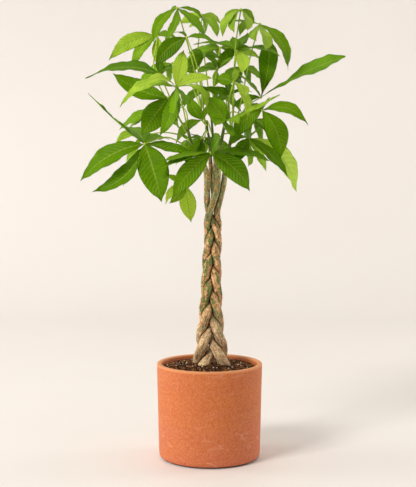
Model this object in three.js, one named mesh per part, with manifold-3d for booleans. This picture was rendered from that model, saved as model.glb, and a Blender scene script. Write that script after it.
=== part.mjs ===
// A potted money tree: a terracotta cylinder pot, soil, five braided stems and a crown of palmate leaves.
// Millimetres, +Z up, +Y away from the viewer. The origin is the middle of the pot's flat underside.
import * as THREE from "three";
import { mergeVertices } from "three/addons/utils/BufferGeometryUtils.js";
import Module from "manifold-3d";

const wasm = await Module();
wasm.setup();

// ---- Driving dimensions ----
const GAP = 0.3; // between pieces that touch

const POT_RADIUS = 90; // outside, at the rim
const POT_BASE_RADIUS = 86.6; // outside, at the foot
const POT_HEIGHT = 162.5;
const POT_WALL = 8.5;
const POT_FLOOR = 10;
const POT_FOOT_ROUND = 10;
const POT_RIM_ROUND = 2.2;
const POT_SIDES = 36;
const FOOT_STEPS = 3; // facets of the rounded foot
const RIM_STEPS = 2; // facets of each rounded rim edge
const INNER_FOOT = 5; // slope between the inner wall and the floor

const SOIL_EDGE = 152.5; // height where the soil meets the wall
const SOIL_MOUND = 8; // extra height at the trunk
const SOIL_RINGS = [22, 38, 53, 66, 76];
const SOIL_SIDES = 24;
const SOIL_CRUMB = 2.2; // height of the crumbs
const SOIL_HOLE_GAP = 0.6; // round the stems

const STEM_BOTTOM = 124;
const STEM_BEND = 150; // straight below this height
const STEM_SIDES = 6;
const BRAID_STEP = 8; // height of one facet in the braid
const SHOOT_STEP = 12; // height of one facet above it
const STEM_GAP = 0.9; // left between pressed stems
const LEAST_FACING = 0.05; // cosine to a neighbour below which a stem isn't pressed by it
const BRAID_TOP = 378;
const BRAID_PITCH = 213; // height of one full turn of the braid
const BRAID_START = 203; // height where the first stem crosses the middle
const BRAID_KEY_HEIGHTS = [120, 160, 218, 250, 300, 344, 378];
const BRAID_MIDDLES = [3.5, 3.4, 1.9, 2.4, 3.2, 3.9, 6.0]; // x of the braid's middle
const BRAID_REACHES = [24, 22.5, 15.3, 12.5, 10.5, 9.4, 9.0]; // sideways, to a stem's middle
const BRAID_DEPTHS = [15, 14, 11.5, 10.5, 10.3, 10, 9.4]; // front to back, to a stem's middle
const GIRTH_HEIGHTS = [120, 160, 218, 300, 378, 440, 480, 520, 560, 590];
const GIRTHS = [8.4, 8.1, 7.1, 6.3, 5.5, 5.1, 4.8, 3.4, 2.3, 1.9]; // stem radius

const PETIOLE_SIDES = 4;
const PETIOLE_STEPS = 6;
const PETIOLE_FOOT = 1.7; // radius at the stem
const PETIOLE_HEAD = 1.15; // radius at the leaflets
const HUB_RADIUS = 3.4;
const KNEE_OUT = 4; // how far a leaf stalk stands off its stem before it turns up
const KNEE_UP = 2.5;
const BACK_VIA_UP = 300; // height that is added halfway along the stalk of a leaf at the back

const BLADE_STATIONS = [0.015, 0.12, 0.32, 0.55, 0.8];
const BLADE_BREADTH = 0.34; // least breadth, as a share of the length
const BLADE_THICKNESS = 1.3; // at the rib
const BLADE_STALK = 1.1; // half width at the hub
const BLADE_STALK_END = 0.05; // share of the length that is flat stalk
const BLADE_FREE = 0.3; // share of the length beyond which a leaflet keeps clear of its own leaf
const BLADE_FOLD = 0.22; // rise of the edges, as a share of the half width
const BLADE_WAVE = 0.05; // height of the edge waves, as a share of the breadth
const BLADE_WAVES = 2.6; // waves along one edge
const BLADE_RISE = 1.1; // shape of the outline towards the stalk
const BLADE_FALL = 0.95; // shape of the outline towards the tip
const DRIP_START = 0.85; // the drip tip narrows from here
const DRIP_CUT = 0.45; // share of the width that it loses

const CLEAR = 0.45; // kept round a petiole or blade when its place is tried
const TIP_SHIFTS = [0, 8, -8, 16, -16, 24, -24, 34, -34, 46, -46, 60, -60, 76, -76];
const BLADE_SHARES = [1, 0.75, 0.5]; // of the full breadth
const VIA_SHIFTS = [0, 6, -6, 13, -13, 21, -21, 30, -30];
const FOOT_SHIFTS = [0, -5, 5, -10, 10, -16, 16, -23, -30, -38];

// The viewpoint of the photograph. A place in the crown is written as u and v, where its sight line
// meets the upright plane through the pot's axis, and y, its depth behind that plane.
const VIEWPOINT = new THREE.Vector3(-2.6, -1926, 517);

// ---- The five stems above the braid: [x, y, z] down the middle of each ----
const STEMS = [
  {
    name: "stem_1_left",
    phase: 0,
    girth: 1.05,
    path: [
      [12, -8.5, 388], [7, -6.5, 401], [0.5, 1, 415], [-3, 4, 430], [-4, 2, 450], [-4.5, -3, 480],
      [-8, -4, 495], [-15.5, -7, 510], [-26, -10, 524], [-31, -12, 536], [-34, -14, 548], [-37.5, -16, 562],
    ],
  },
  {
    name: "stem_2_back_left",
    phase: 3,
    girth: 0.85,
    path: [
      [3.5, -4.5, 388], [7.1, 2.5, 400], [11, 9.5, 415], [11.5, 11.5, 430], [7, 12, 450], [3, 11.5, 480],
      [2, 12, 500], [1, 11, 520], [0, 8, 540], [-3.5, 5, 557], [-5, 4, 572],
    ],
  },
  {
    name: "stem_3_back",
    phase: 1,
    girth: 0.85,
    path: [
      [3, 7.5, 388], [0, 9.5, 400], [1.5, 10, 415], [3.5, 8, 430], [7, 3, 450], [8.5, 4, 465],
      [8.5, 5, 480], [9.5, 8, 500], [9, 11, 520], [6, 14, 545], [3, 16, 580],
    ],
  },
  {
    name: "stem_4_front",
    phase: 2,
    girth: 1.05,
    path: [
      [-3, -1.5, 388], [-3.5, -7, 400], [-3, -9, 410], [0, -9, 420], [4, -8, 430], [7, -7, 440],
      [10.5, -6.5, 450], [13, -6, 460], [14, -6, 480], [15, -5, 500], [16, -5, 520], [19, -7, 535],
      [22, -9, 550], [25, -12, 566],
    ],
  },
  {
    name: "stem_5_right",
    phase: 4,
    girth: 1,
    path: [
      [14, 8, 388], [14.8, 3, 400], [13, -1, 410], [12.8, -1.5, 420], [15, -1, 430], [17.5, 0, 440],
      [20, 0, 450], [22.5, 0, 460], [25.5, 1, 480], [28.5, 2, 511], [34, 3, 533], [37, 4, 548], [37, 6, 566],
    ],
  },
];

// ---- The crown ----
// hub: u, v and y where the leaflets meet. from: the stem and the height on it where the leaf stalk starts.
// via: a place that the stalk passes. reach: the usual leaflet length, which sets how far each tip lies
// in front of the hub or behind it. Each leaflet: u and v of its tip, side (-1 to the front, 1 to the
// back), the width that shows (below 0 where the underside shows), and how far it arches, as a share.
const LEAVES = [
  {
    tone: "mid", from: [1, 568], hub: [-54, 759, 0], via: [-28, 668, -4], reach: 78,
    leaflets: [
      [-93.5, 701, -0.5, 20, 0.14], [-76, 702, -1, 17, -0.08], [-8, 712, -0.6, 16, 0.07],
      [-70, 750, 0.6, 6, 0.04], [-6, 723, 0.6, 10, 0.22],
    ],
  },
  {
    tone: "young", from: [2, 574], hub: [-12, 748, 45], via: [-19, 684, 34], reach: 70,
    leaflets: [
      [-50, 734, 0.4, 16, 0.06], [-34, 728, 0.8, 9, 0], [20, 732, 0.4, 10, 0.12],
      [13, 711, -0.6, 14, 0.1], [-9, 716, 1, 9, 0.1],
    ],
  },
  {
    tone: "young", from: [4, 562], hub: [52, 757, -5], via: [43, 692, -8], reach: 74,
    leaflets: [
      [20, 727, 0.5, 13, 0.1], [22, 712, -0.6, 13, 0.14], [41, 719, -0.9, 10, 0.1],
      [75, 735, 0.4, 11, 0.1], [63, 722, -0.8, 12, 0.08],
    ],
  },
  {
    tone: "mid", from: [4, 554], hub: [84, 733, 8], via: [70, 687, 6], reach: 86,
    leaflets: [
      [131, 657, -0.2, 19, 0.16], [93, 689, -0.9, 18, 0.06], [78.5, 705, -0.7, 14, 0.1],
      [24, 737, -0.2, 7, 0.04], [50, 712, -0.5, 13, 0.2],
    ],
  },
  {
    tone: "young", from: [0, 556], hub: [-87, 713, 30], via: [-91.5, 650, 0], reach: 90,
    leaflets: [
      [-168.5, 673, 0, 30, 0.13], [-128, 660, -0.4, 18, 0.12], [-76, 656, -0.2, 23, -0.05],
      [-54, 709, 0.5, 10, 0.1],
    ],
  },
  {
    tone: "dark", from: [1, 560], hub: [-38, 711, -40], via: [-20, 660, -24], reach: 80,
    leaflets: [
      [-90.5, 663.5, -0.4, 28, 0.1], [12, 700, 0.4, 8, 0.12], [-59, 719, 0.3, 4, 0.12],
    ],
  },
  {
    tone: "young", from: [0, 558], hub: [-56, 629, -75], via: [-44, 592, -48], reach: 96,
    leaflets: [
      [-58.5, 582, -1, 15, 0], [-150, 595, 0, 16, 0.2], [-84, 547, -0.3, 25, -0.08],
      [6, 643.5, 0.3, 17, 0.1], [-4, 586, -0.3, 10, 0.3], [-112, 624, -0.3, 12, 0.3],
      [-43, 691, 0.6, -26, 0], [-42.5, 598, -0.9, 13, 0.05],
    ],
  },
  {
    tone: "dark", from: [0, 552], hub: [-83, 650, -15], via: [-62, 602, -22], reach: 124,
    leaflets: [
      [-207.5, 643, 0, 17, 0.12], [-84, 677, 0.9, 14, 0], [-50, 661, 0.5, 8, 0.1],
    ],
  },
  {
    tone: "mid", from: [0, 538], hub: [-109, 534, -44.5], via: [-70, 545, -30], reach: 116,
    leaflets: [
      [-217.5, 471, 0, 31, 0.1], [-81, 436, -0.4, 50, 0.02], [-198, 453, 0.1, 26, -0.14],
      [-203, 619, 0.1, 3, -0.03], [-22, 514, 0.3, 16, 0.03], [-139, 563, 0.9, 24, 0.05],
      [-67.5, 541, 0.6, 12, 0.1],
    ],
  },
  {
    tone: "mid", from: [3, 528], hub: [2, 519, -60], via: [10, 525, -34], reach: 106,
    leaflets: [
      [-63, 442, -0.35, 34, 0.06], [68, 454, -0.35, 36, 0.1], [-92, 487, 0.1, 10, 0.05],
      [106.5, 503.5, 0.1, 12, 0.07], [19, 548, -0.9, 17, 0], [-82, 503, 0.4, 9, 0.04],
    ],
  },
  {
    tone: "dark", from: [4, 558], hub: [86, 612, 20], via: [62, 596, 14], reach: 105,
    leaflets: [
      [227, 680, 0, 25, 0.03], [99.5, 710, 0.3, 32, -0.05], [37, 593, 0.2, 13, 0.1],
      [45, 652, 0.4, 5, 0.04],
    ],
  },
  {
    tone: "dark", from: [4, 550], hub: [88, 590, -10], via: [63, 575, -6], reach: 86,
    leaflets: [
      [119.5, 509, -0.3, 37, 0.12], [165.5, 565, 0, 20, 0.2], [40, 541, -0.3, 29, 0.12],
      [96, 607, 1, 10, 0], [60, 600, 0.5, 6, 0.1], [54, 574, 0.8, 13, 0.1],
    ],
  },
  {
    tone: "mid", from: [3, 548], hub: [66, 544, -24], via: [44, 551, -22], reach: 150,
    leaflets: [
      [131.5, 480.5, -0.2, 23, 0.06], [46, 502, -0.35, 23, 0.05], [147, 454, 0.6, 27, 0.13],
      [96, 488, 0.35, 16, 0.03], [65.5, 496, 0.45, 13, 0], [36, 532, -0.37, 12, 0.12],
      [84, 561, 0.38, 4, 0],
    ],
  },
  {
    tone: "young", from: [3, 562], hub: [27, 572, -58], via: [25, 561, -34], reach: 76,
    leaflets: [
      [-3, 613, 0.4, 34, 0], [118, 616.5, 0.2, 11, -0.03], [9, 563, -0.9, 15, 0.08],
      [50, 567, -0.8, 13, 0.1], [36, 546, -0.9, 15, 0], [19, 604, 0.9, 14, 0],
    ],
  },
  {
    tone: "dark", from: [2, 578], hub: [13, 658, 5], via: [6, 618, 12], reach: 76,
    leaflets: [
      [48, 697, 0.3, 19, 0.05], [-18, 657, 0.6, 11, 0.12], [-21, 652.5, -0.6, 9, 0.05],
      [40, 677, -0.5, 5, 0.05], [6, 628, 0.5, 12, 0],
    ],
  },
  {
    tone: "dark", from: [4, 564], hub: [46, 688, 2], via: [40, 642, 4], reach: 80,
    leaflets: [
      [54, 650, -0.6, 22, 0.12], [-27, 699, -0.2, 4, 0.1], [118, 680, -0.2, 7, 0.12],
      [3, 700, 0.3, 9, 0.12], [38, 713, 0.8, 17, 0], [64, 719, 0.6, 15, 0],
      [69, 693, 0.3, 10, 0.12],
    ],
  },
  {
    tone: "young", from: [0, 500], hub: [-42, 466, -12], via: [-27, 481, -12], reach: 64,
    leaflets: [
      [-31, 402, -0.3, 28, 0], [-74.5, 432, 0.2, 13, 0.15], [-68, 434, -0.7, 17, -0.08],
      [-75.5, 483, 0.2, 10, 0.03],
    ],
  },
  {
    tone: "dark", from: [0, 546], hub: [-69, 611, -34], via: [-52, 578, -24], reach: 90,
    leaflets: [
      [-163, 652, 0, 30, -0.07], [-114, 548, -0.2, 40, 0.02], [-53, 572, 0.6, 12, 0],
    ],
  },
  {
    tone: "mid", from: [1, 562], hub: [-13, 574, -14], via: [-8, 567, -6], reach: 62,
    leaflets: [
      [-56.5, 534.5, 0, 16, 0.13], [-36, 613, 0.3, 21, -0.05], [-31, 588, 0.7, 9, 0],
      [-2, 600, 0.8, 9, 0],
    ],
  },
  {
    tone: "dark", from: [1, 552], hub: [-13, 543, -24], via: [-9, 552, -14], reach: 58,
    leaflets: [
      [-40, 497, -0.5, 15, 0.05], [-14, 497, -0.5, 14, 0], [-24, 508, 0.5, 13, 0],
      [-31, 551, 0.8, 4, 0], [3, 527, -0.4, 5, 0],
    ],
  },
  {
    tone: "mid", from: [0, 530], hub: [-36, 541, -27], via: [-33, 537, -20], reach: 46,
    leaflets: [
      [-47, 503, -0.3, 12, 0.08], [-47, 548, 0.6, 6, 0.1], [-16, 547, 0.6, 4, 0.05],
    ],
  },
  {
    tone: "young", from: [4, 560], hub: [40, 637, -30], via: [33, 606, -18], reach: 72,
    leaflets: [
      [63.5, 574, -0.4, 14, 0.14], [58, 608, -0.7, 13, 0.15], [9, 641, 0.2, 21, 0.1],
      [57, 635, 0.7, 8, 0.1], [47, 662, 0.7, 12, 0],
    ],
  },
  {
    tone: "dark", from: [3, 564], hub: [31, 613, 2], via: [31, 590, -4], reach: 66,
    leaflets: [
      [8, 629, 0.4, 10, 0.1], [71, 620.5, -0.1, 8, 0.16], [16, 602, -0.6, 12, 0.1],
      [-13, 627, 0.3, 11, 0.05], [30, 648, 0.7, 14, 0],
    ],
  },
  {
    tone: "dark", from: [2, 572], hub: [-9, 680, 20], via: [-3, 632, 16], reach: 64,
    leaflets: [
      [-37, 685, 0.5, 11, 0.12], [18, 676, 0.4, 10, 0.12], [13, 661, -0.4, 9, 0.12],
      [-41, 662, -0.3, 14, 0.08], [-31, 650, -0.5, 13, 0.08],
    ],
  },
  {
    tone: "young", from: [0, 542], hub: [-111, 549, 22], via: [-72, 553, 4], reach: 72,
    leaflets: [
      [-159.5, 531, -0.2, 13, 0.2], [-128, 506, -0.3, 10, 0.08], [-145, 463, 0.2, 10, 0.05],
      [-88, 590, 0.8, 14, 0],
    ],
  },
];

// Leaves at the back of the crown. fan: compass angles of the first and last leaflet, in degrees, with 0
// at +X and 90 at +Y. droop: how far the leaflets slope down, in degrees.
const BACK_LEAVES = [
  { tone: "dark", from: [1, 566], hub: [-62, 668, 92], reach: 74, fan: [40, 150], count: 5, droop: 24 },
  { tone: "mid", from: [2, 578], hub: [18, 694, 92], reach: 76, fan: [30, 150], count: 5, droop: 20 },
  { tone: "dark", from: [4, 562], hub: [56, 660, 88], reach: 64, fan: [55, 140], count: 5, droop: 24 },
  { tone: "mid", from: [0, 550], hub: [-88, 588, 84], reach: 76, fan: [60, 150], count: 5, droop: 22 },
  { tone: "dark", from: [2, 566], hub: [0, 628, 112], reach: 80, fan: [20, 160], count: 6, droop: 30 },
  { tone: "mid", from: [4, 548], hub: [72, 574, 92], reach: 76, fan: [30, 120], count: 5, droop: 28 },
  { tone: "dark", from: [2, 548], hub: [-8, 545, 84], reach: 72, fan: [30, 150], count: 5, droop: 34 },
];

const BACK_SLOPE_SPREAD = 12; // degrees between the flattest and the steepest leaflet
const BACK_LENGTHS = [0.8, 1.1]; // of the reach
const BACK_SHOWN = 0.2; // of the length
const BACK_ARCH = 0.08;

// ---- Colours ----
const TERRACOTTA = new THREE.MeshStandardMaterial({ color: 0xd98a5e, roughness: 0.85, metalness: 0 });
const EARTH = new THREE.MeshStandardMaterial({ color: 0x3a2a1e, roughness: 0.95, metalness: 0 });
const BARK = new THREE.MeshStandardMaterial({ color: 0x8f8054, roughness: 0.8, metalness: 0 });
const LEAF_COLOURS = { dark: 0x3d6b14, mid: 0x5a8a1c, young: 0x8fb428 };

// ---- Small tools ----
function vector(place) {
  return new THREE.Vector3(...place);
}

// The point at depth y on the sight line through u and v.
function seen([u, v, y]) {
  const share = 1 - y / VIEWPOINT.y;
  const x = VIEWPOINT.x + share * (u - VIEWPOINT.x);
  const z = VIEWPOINT.z + share * (v - VIEWPOINT.z);
  return new THREE.Vector3(x, y, z);
}

// A straight-line reading of a list of values at given keys.
function reading(keys, values, at) {
  if (at <= keys[0]) return values[0];
  for (let i = 1; i < keys.length; i++) {
    if (at <= keys[i]) {
      const share = (at - keys[i - 1]) / (keys[i] - keys[i - 1]);
      return values[i - 1] + share * (values[i] - values[i - 1]);
    }
  }
  return values[values.length - 1];
}

// A repeatable number from 0 to 1 for two whole numbers.
function scatter(i, j) {
  const raw = Math.sin(i * 12.9898 + j * 78.233) * 43758.5453;
  return raw - Math.floor(raw);
}

function solidFrom(points, faces) {
  const vertProperties = new Float32Array(points.length * 3);
  points.forEach((p, i) => p.toArray(vertProperties, i * 3));
  const triVerts = new Uint32Array(faces.flat());
  return new wasm.Manifold(new wasm.Mesh({ numProp: 3, vertProperties, triVerts }));
}

// A closed skin over rings of points, each turning counter-clockwise about the way ahead. The last ring
// may be one point. Odd and even strips are split the other way round, so that both faces of a blade match.
function loft(rings) {
  const points = rings.flat();
  const faces = [];
  let start = 0;
  for (let k = 0; k + 1 < rings.length; k++) {
    const count = rings[k].length;
    const next = start + count;
    for (let i = 0; i < count; i++) {
      const j = (i + 1) % count;
      if (rings[k + 1].length === 1) {
        faces.push([start + i, start + j, next]);
      } else if (i % 2) {
        faces.push([start + i, start + j, next + i], [start + j, next + j, next + i]);
      } else {
        faces.push([start + i, start + j, next + j], [start + i, next + j, next + i]);
      }
    }
    start = next;
  }
  for (let i = 1; i + 1 < rings[0].length; i++) faces.push([0, i + 1, i]);
  for (let i = 1; i + 1 < rings.at(-1).length; i++) faces.push([start, start + i, start + i + 1]);
  return solidFrom(points, faces);
}

function solidOfGeometry(geometry) {
  geometry.deleteAttribute("normal");
  geometry.deleteAttribute("uv");
  const merged = mergeVertices(geometry, 1e-4);
  const index = merged.index.array;
  const faces = [];
  for (let i = 0; i < index.length; i += 3) {
    const face = [index[i], index[i + 1], index[i + 2]];
    if (new Set(face).size === 3) faces.push(face);
  }
  const position = merged.attributes.position;
  const points = [];
  for (let i = 0; i < position.count; i++) points.push(new THREE.Vector3().fromBufferAttribute(position, i));
  return solidFrom(points, faces);
}

function meshOf(name, solid, material) {
  const made = solid.getMesh();
  const geometry = new THREE.BufferGeometry();
  geometry.setAttribute("position", new THREE.BufferAttribute(new Float32Array(made.vertProperties), 3));
  geometry.setIndex(new THREE.BufferAttribute(new Uint32Array(made.triVerts), 1));
  geometry.computeVertexNormals();
  const mesh = new THREE.Mesh(geometry, material);
  mesh.name = name;
  return mesh;
}

function largestBody(solid) {
  const bodies = solid.decompose();
  bodies.sort((a, b) => b.volume() - a.volume());
  return bodies[0];
}

// ---- Pot ----
function innerRadius(z) {
  const share = (z - POT_FLOOR) / (POT_HEIGHT - POT_FLOOR);
  const outer = POT_BASE_RADIUS + share * (POT_RADIUS - POT_BASE_RADIUS);
  return outer - POT_WALL;
}

function arc(centreX, centreY, radius, from, to, steps) {
  const points = [];
  for (let i = 0; i <= steps; i++) {
    const angle = from + ((to - from) * i) / steps;
    points.push(new THREE.Vector2(centreX + radius * Math.cos(angle), centreY + radius * Math.sin(angle)));
  }
  return points;
}

function potSolid() {
  const foot = POT_FOOT_ROUND;
  const rim = POT_RIM_ROUND;
  const inside = innerRadius(POT_HEIGHT);
  const profile = [
    new THREE.Vector2(0, 0),
    ...arc(POT_BASE_RADIUS - foot, foot, foot, -Math.PI / 2, 0, FOOT_STEPS),
    ...arc(POT_RADIUS - rim, POT_HEIGHT - rim, rim, 0, Math.PI / 2, RIM_STEPS),
    ...arc(inside + rim, POT_HEIGHT - rim, rim, Math.PI / 2, Math.PI, RIM_STEPS),
    new THREE.Vector2(innerRadius(POT_FLOOR + INNER_FOOT), POT_FLOOR + INNER_FOOT),
    new THREE.Vector2(innerRadius(POT_FLOOR) - INNER_FOOT, POT_FLOOR),
    new THREE.Vector2(0, POT_FLOOR),
  ];
  return solidOfGeometry(new THREE.LatheGeometry(profile, POT_SIDES).rotateX(Math.PI / 2));
}

// ---- Stems ----
// The middle of a stem at each height: the braid's figure of eight below, the listed path above.
function stemMiddles(stem) {
  const points = [];
  for (let z = 110; z <= BRAID_TOP; z += 4) {
    const turn = Math.PI + (2 * Math.PI * (z - BRAID_START)) / BRAID_PITCH + (2 * Math.PI * stem.phase) / 5;
    const x = reading(BRAID_KEY_HEIGHTS, BRAID_MIDDLES, z);
    const reach = reading(BRAID_KEY_HEIGHTS, BRAID_REACHES, z);
    const depth = reading(BRAID_KEY_HEIGHTS, BRAID_DEPTHS, z);
    points.push(new THREE.Vector3(x + reach * Math.sin(turn), depth * Math.sin(2 * turn), z));
  }
  const listed = stem.path.map(vector);
  const curve = new THREE.CatmullRomCurve3([...points, ...listed]);
  return curve.getPoints(600);
}

function middleAt(middles, z) {
  const after = middles.findIndex((p) => p.z >= z);
  if (after < 0) return middles.at(-1).clone();
  if (after === 0) return middles[0].clone();
  const a = middles[after - 1];
  const b = middles[after];
  return a.clone().lerp(b, (z - a.z) / (b.z - a.z));
}

const stemCourses = STEMS.map((stem) => ({ ...stem, middles: stemMiddles(stem) }));

function girthAt(stem, z) {
  const above = z > BRAID_TOP ? Math.min(1, (z - BRAID_TOP) / 60) : 0;
  return reading(GIRTH_HEIGHTS, GIRTHS, z) * (1 + above * (stem.girth - 1));
}

// One slice of a stem: a circle, pressed flat where another stem lies against it.
function stemSlice(stem, z, extra) {
  const middle = middleAt(stem.middles, z);
  const radius = girthAt(stem, z);
  const others = stemCourses.filter((other) => other !== stem && other.middles.at(-1).z > z - SHOOT_STEP);
  const ring = [];
  for (let i = 0; i < STEM_SIDES; i++) {
    const angle = (2 * Math.PI * (i + 0.5)) / STEM_SIDES;
    const way = new THREE.Vector3(Math.cos(angle), Math.sin(angle), 0);
    let reach = radius;
    for (const other of others) {
      const between = middleAt(other.middles, z).sub(middle).setZ(0);
      const distance = between.length();
      const facing = way.dot(between) / distance;
      const share = (distance ** 2 + radius ** 2 - girthAt(other, z) ** 2) / (2 * distance);
      if (facing > LEAST_FACING) reach = Math.min(reach, (share - STEM_GAP / 2) / facing);
    }
    ring.push(middle.clone().addScaledVector(way, reach + extra));
  }
  return ring;
}

function stemSolid(stem, extra) {
  const top = stem.middles.at(-1);
  const bend = stemSlice(stem, STEM_BEND, extra);
  const rings = [bend.map((p) => p.clone().setZ(STEM_BOTTOM - extra))];
  const runs = [[STEM_BEND, BRAID_TOP, BRAID_STEP], [BRAID_TOP, top.z, SHOOT_STEP]];
  for (const [from, to, step] of runs) {
    const steps = Math.round((to - from) / step);
    for (let i = 0; i < steps; i++) rings.push(stemSlice(stem, from + ((to - from) * i) / steps, extra));
  }
  rings.push(stemSlice(stem, top.z, extra));
  rings.push([top.clone().add(new THREE.Vector3(0, 0, 2 + extra))]);
  return loft(rings);
}

// ---- Soil ----
function soilSolid(stemHoles) {
  const edge = innerRadius(SOIL_EDGE) - GAP;
  const foot = POT_FLOOR + GAP;
  const radii = [...SOIL_RINGS, edge];
  const rings = [];
  const circle = (radius, height) => {
    const ring = [];
    for (let i = 0; i < SOIL_SIDES; i++) {
      const angle = (2 * Math.PI * i) / SOIL_SIDES;
      ring.push(new THREE.Vector3(radius * Math.cos(angle), radius * Math.sin(angle), height(i)));
    }
    return ring;
  };
  rings.push(circle(innerRadius(foot) - INNER_FOOT - GAP, () => foot));
  rings.push(circle(innerRadius(foot + INNER_FOOT) - GAP, () => foot + INNER_FOOT));
  for (let k = radii.length - 1; k >= 0; k--) {
    const mound = SOIL_EDGE + SOIL_MOUND * (1 - (radii[k] / edge) ** 1.5);
    const crumb = k === radii.length - 1 ? 0 : SOIL_CRUMB;
    rings.push(circle(radii[k], (i) => mound + crumb * (scatter(i, k) - 0.5)));
  }
  rings.push([new THREE.Vector3(0, 0, SOIL_EDGE + SOIL_MOUND)]);
  let soil = loft(rings);
  for (const hole of stemHoles) soil = soil.subtract(hole);
  return largestBody(soil);
}

// ---- Leaves ----
function smoothRise(from, to, at) {
  return THREE.MathUtils.smoothstep(at, from, to);
}

// Half width of a leaflet at a share of its length, as a share of its greatest half width.
function bladeOutline(s) {
  const widest = BLADE_RISE / (BLADE_RISE + BLADE_FALL);
  const body = (s / widest) ** BLADE_RISE * ((1 - s) / (1 - widest)) ** BLADE_FALL;
  return body * (1 - DRIP_CUT * smoothRise(DRIP_START, DRIP_START + 0.1, s));
}

// The rings of a leaflet from the hub to its tip. Its breadth is turned about the rib so that it shows
// the given width from the viewpoint.
function bladeRings(hub, tip, shown, arch, wavePhase, share, extra, from = 0) {
  const span = tip.clone().sub(hub);
  const length = span.length();
  const along = span.clone().normalize();
  const middle = hub.clone().lerp(tip, 0.5);
  const sight = middle.clone().sub(VIEWPOINT).normalize();
  const upward = along.clone().cross(sight).normalize();
  if (upward.z < 0) upward.negate();
  const away = along.clone().cross(upward);
  if (away.dot(sight) < 0) away.negate();
  const breadth = Math.max(Math.abs(shown), BLADE_BREADTH * length);
  const cosine = Math.abs(shown) / breadth;
  const sine = Math.sign(shown) * Math.sqrt(1 - cosine ** 2);
  const across = upward.clone().multiplyScalar(cosine).addScaledVector(away, sine);
  if (along.clone().cross(across).z < 0) across.negate();
  const bend = middle.clone().addScaledVector(upward, 2 * arch * length);
  const rib = new THREE.QuadraticBezierCurve3(hub, bend, tip);
  const rings = [];
  for (const s of BLADE_STATIONS) {
    if (s < from) continue;
    const centre = rib.getPoint(s);
    const normal = rib.getTangent(s).cross(across).normalize();
    const half = Math.max((bladeOutline(s) * breadth * share) / 2, BLADE_STALK) + extra;
    const wave = 2 * Math.PI * BLADE_WAVES * s + wavePhase;
    const swell = s > BLADE_STALK_END ? BLADE_WAVE * breadth : 0;
    const fold = s > BLADE_STALK_END ? BLADE_FOLD * half : 0;
    const thick = BLADE_THICKNESS / 2 + extra;
    rings.push([
      centre.clone().addScaledVector(across, half).addScaledVector(normal, fold + swell * Math.sin(wave)),
      centre.clone().addScaledVector(normal, thick),
      centre.clone().addScaledVector(across, -half).addScaledVector(normal, fold + swell * Math.cos(wave)),
      centre.clone().addScaledVector(normal, -thick),
    ]);
  }
  rings.push([tip.clone().addScaledVector(along, extra)]);
  return rings;
}

function petioleRings(foot, via, hub, extra) {
  const out = via.clone().sub(foot).setZ(0).setLength(KNEE_OUT);
  const knee = foot.clone().add(out).add(new THREE.Vector3(0, 0, KNEE_UP));
  const curve = new THREE.CatmullRomCurve3([foot, knee, via, hub]);
  const frames = curve.computeFrenetFrames(PETIOLE_STEPS, false);
  const rings = [];
  for (let i = 0; i <= PETIOLE_STEPS; i++) {
    const centre = curve.getPointAt(i / PETIOLE_STEPS);
    const radius = PETIOLE_FOOT + ((PETIOLE_HEAD - PETIOLE_FOOT) * i) / PETIOLE_STEPS + extra;
    const ring = [];
    for (let side = 0; side < PETIOLE_SIDES; side++) {
      const angle = (2 * Math.PI * side) / PETIOLE_SIDES;
      const spoke = frames.normals[i].clone().multiplyScalar(radius * Math.cos(angle));
      spoke.addScaledVector(frames.binormals[i], radius * Math.sin(angle));
      ring.push(centre.clone().add(spoke));
    }
    rings.push(ring);
  }
  return rings;
}

function boxesMeet(a, b) {
  return [0, 1, 2].every((i) => a.min[i] <= b.max[i] && b.min[i] <= a.max[i]);
}

function meets(trial, placed) {
  const box = trial.boundingBox();
  return placed.some((p) => boxesMeet(box, p.box) && !trial.intersect(p.solid).isEmpty());
}

function keep(list, solid) {
  list.push({ solid, box: solid.boundingBox() });
}

function leafPlan(leaf, number) {
  const hub = seen(leaf.hub);
  if (leaf.leaflets) {
    const tips = leaf.leaflets.map(([u, v, side, shown, arch]) => {
      const apart = Math.hypot(u - leaf.hub[0], v - leaf.hub[1]);
      const depth = Math.sqrt(Math.max(leaf.reach ** 2 - apart ** 2, 0));
      return { place: [u, v, leaf.hub[2] + side * depth], shown, arch };
    });
    return { hub, tips, via: leaf.via };
  }
  const tips = [];
  for (let i = 0; i < leaf.count; i++) {
    const turn = THREE.MathUtils.degToRad(leaf.fan[0] + ((leaf.fan[1] - leaf.fan[0]) * i) / (leaf.count - 1));
    const slope = THREE.MathUtils.degToRad(leaf.droop + BACK_SLOPE_SPREAD * (scatter(number, i) - 0.5));
    const length = leaf.reach * THREE.MathUtils.lerp(...BACK_LENGTHS, scatter(i, number));
    const x = leaf.hub[0] + length * Math.cos(turn) * Math.cos(slope);
    const y = leaf.hub[2] + length * Math.sin(turn) * Math.cos(slope);
    const z = leaf.hub[1] - length * Math.sin(slope);
    tips.push({ place: [x, z, y], shown: BACK_SHOWN * length, arch: BACK_ARCH });
  }
  const via = [leaf.hub[0] / 2, leaf.hub[1] / 2 + BACK_VIA_UP, leaf.hub[2] / 2];
  return { hub, tips, via };
}

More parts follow.
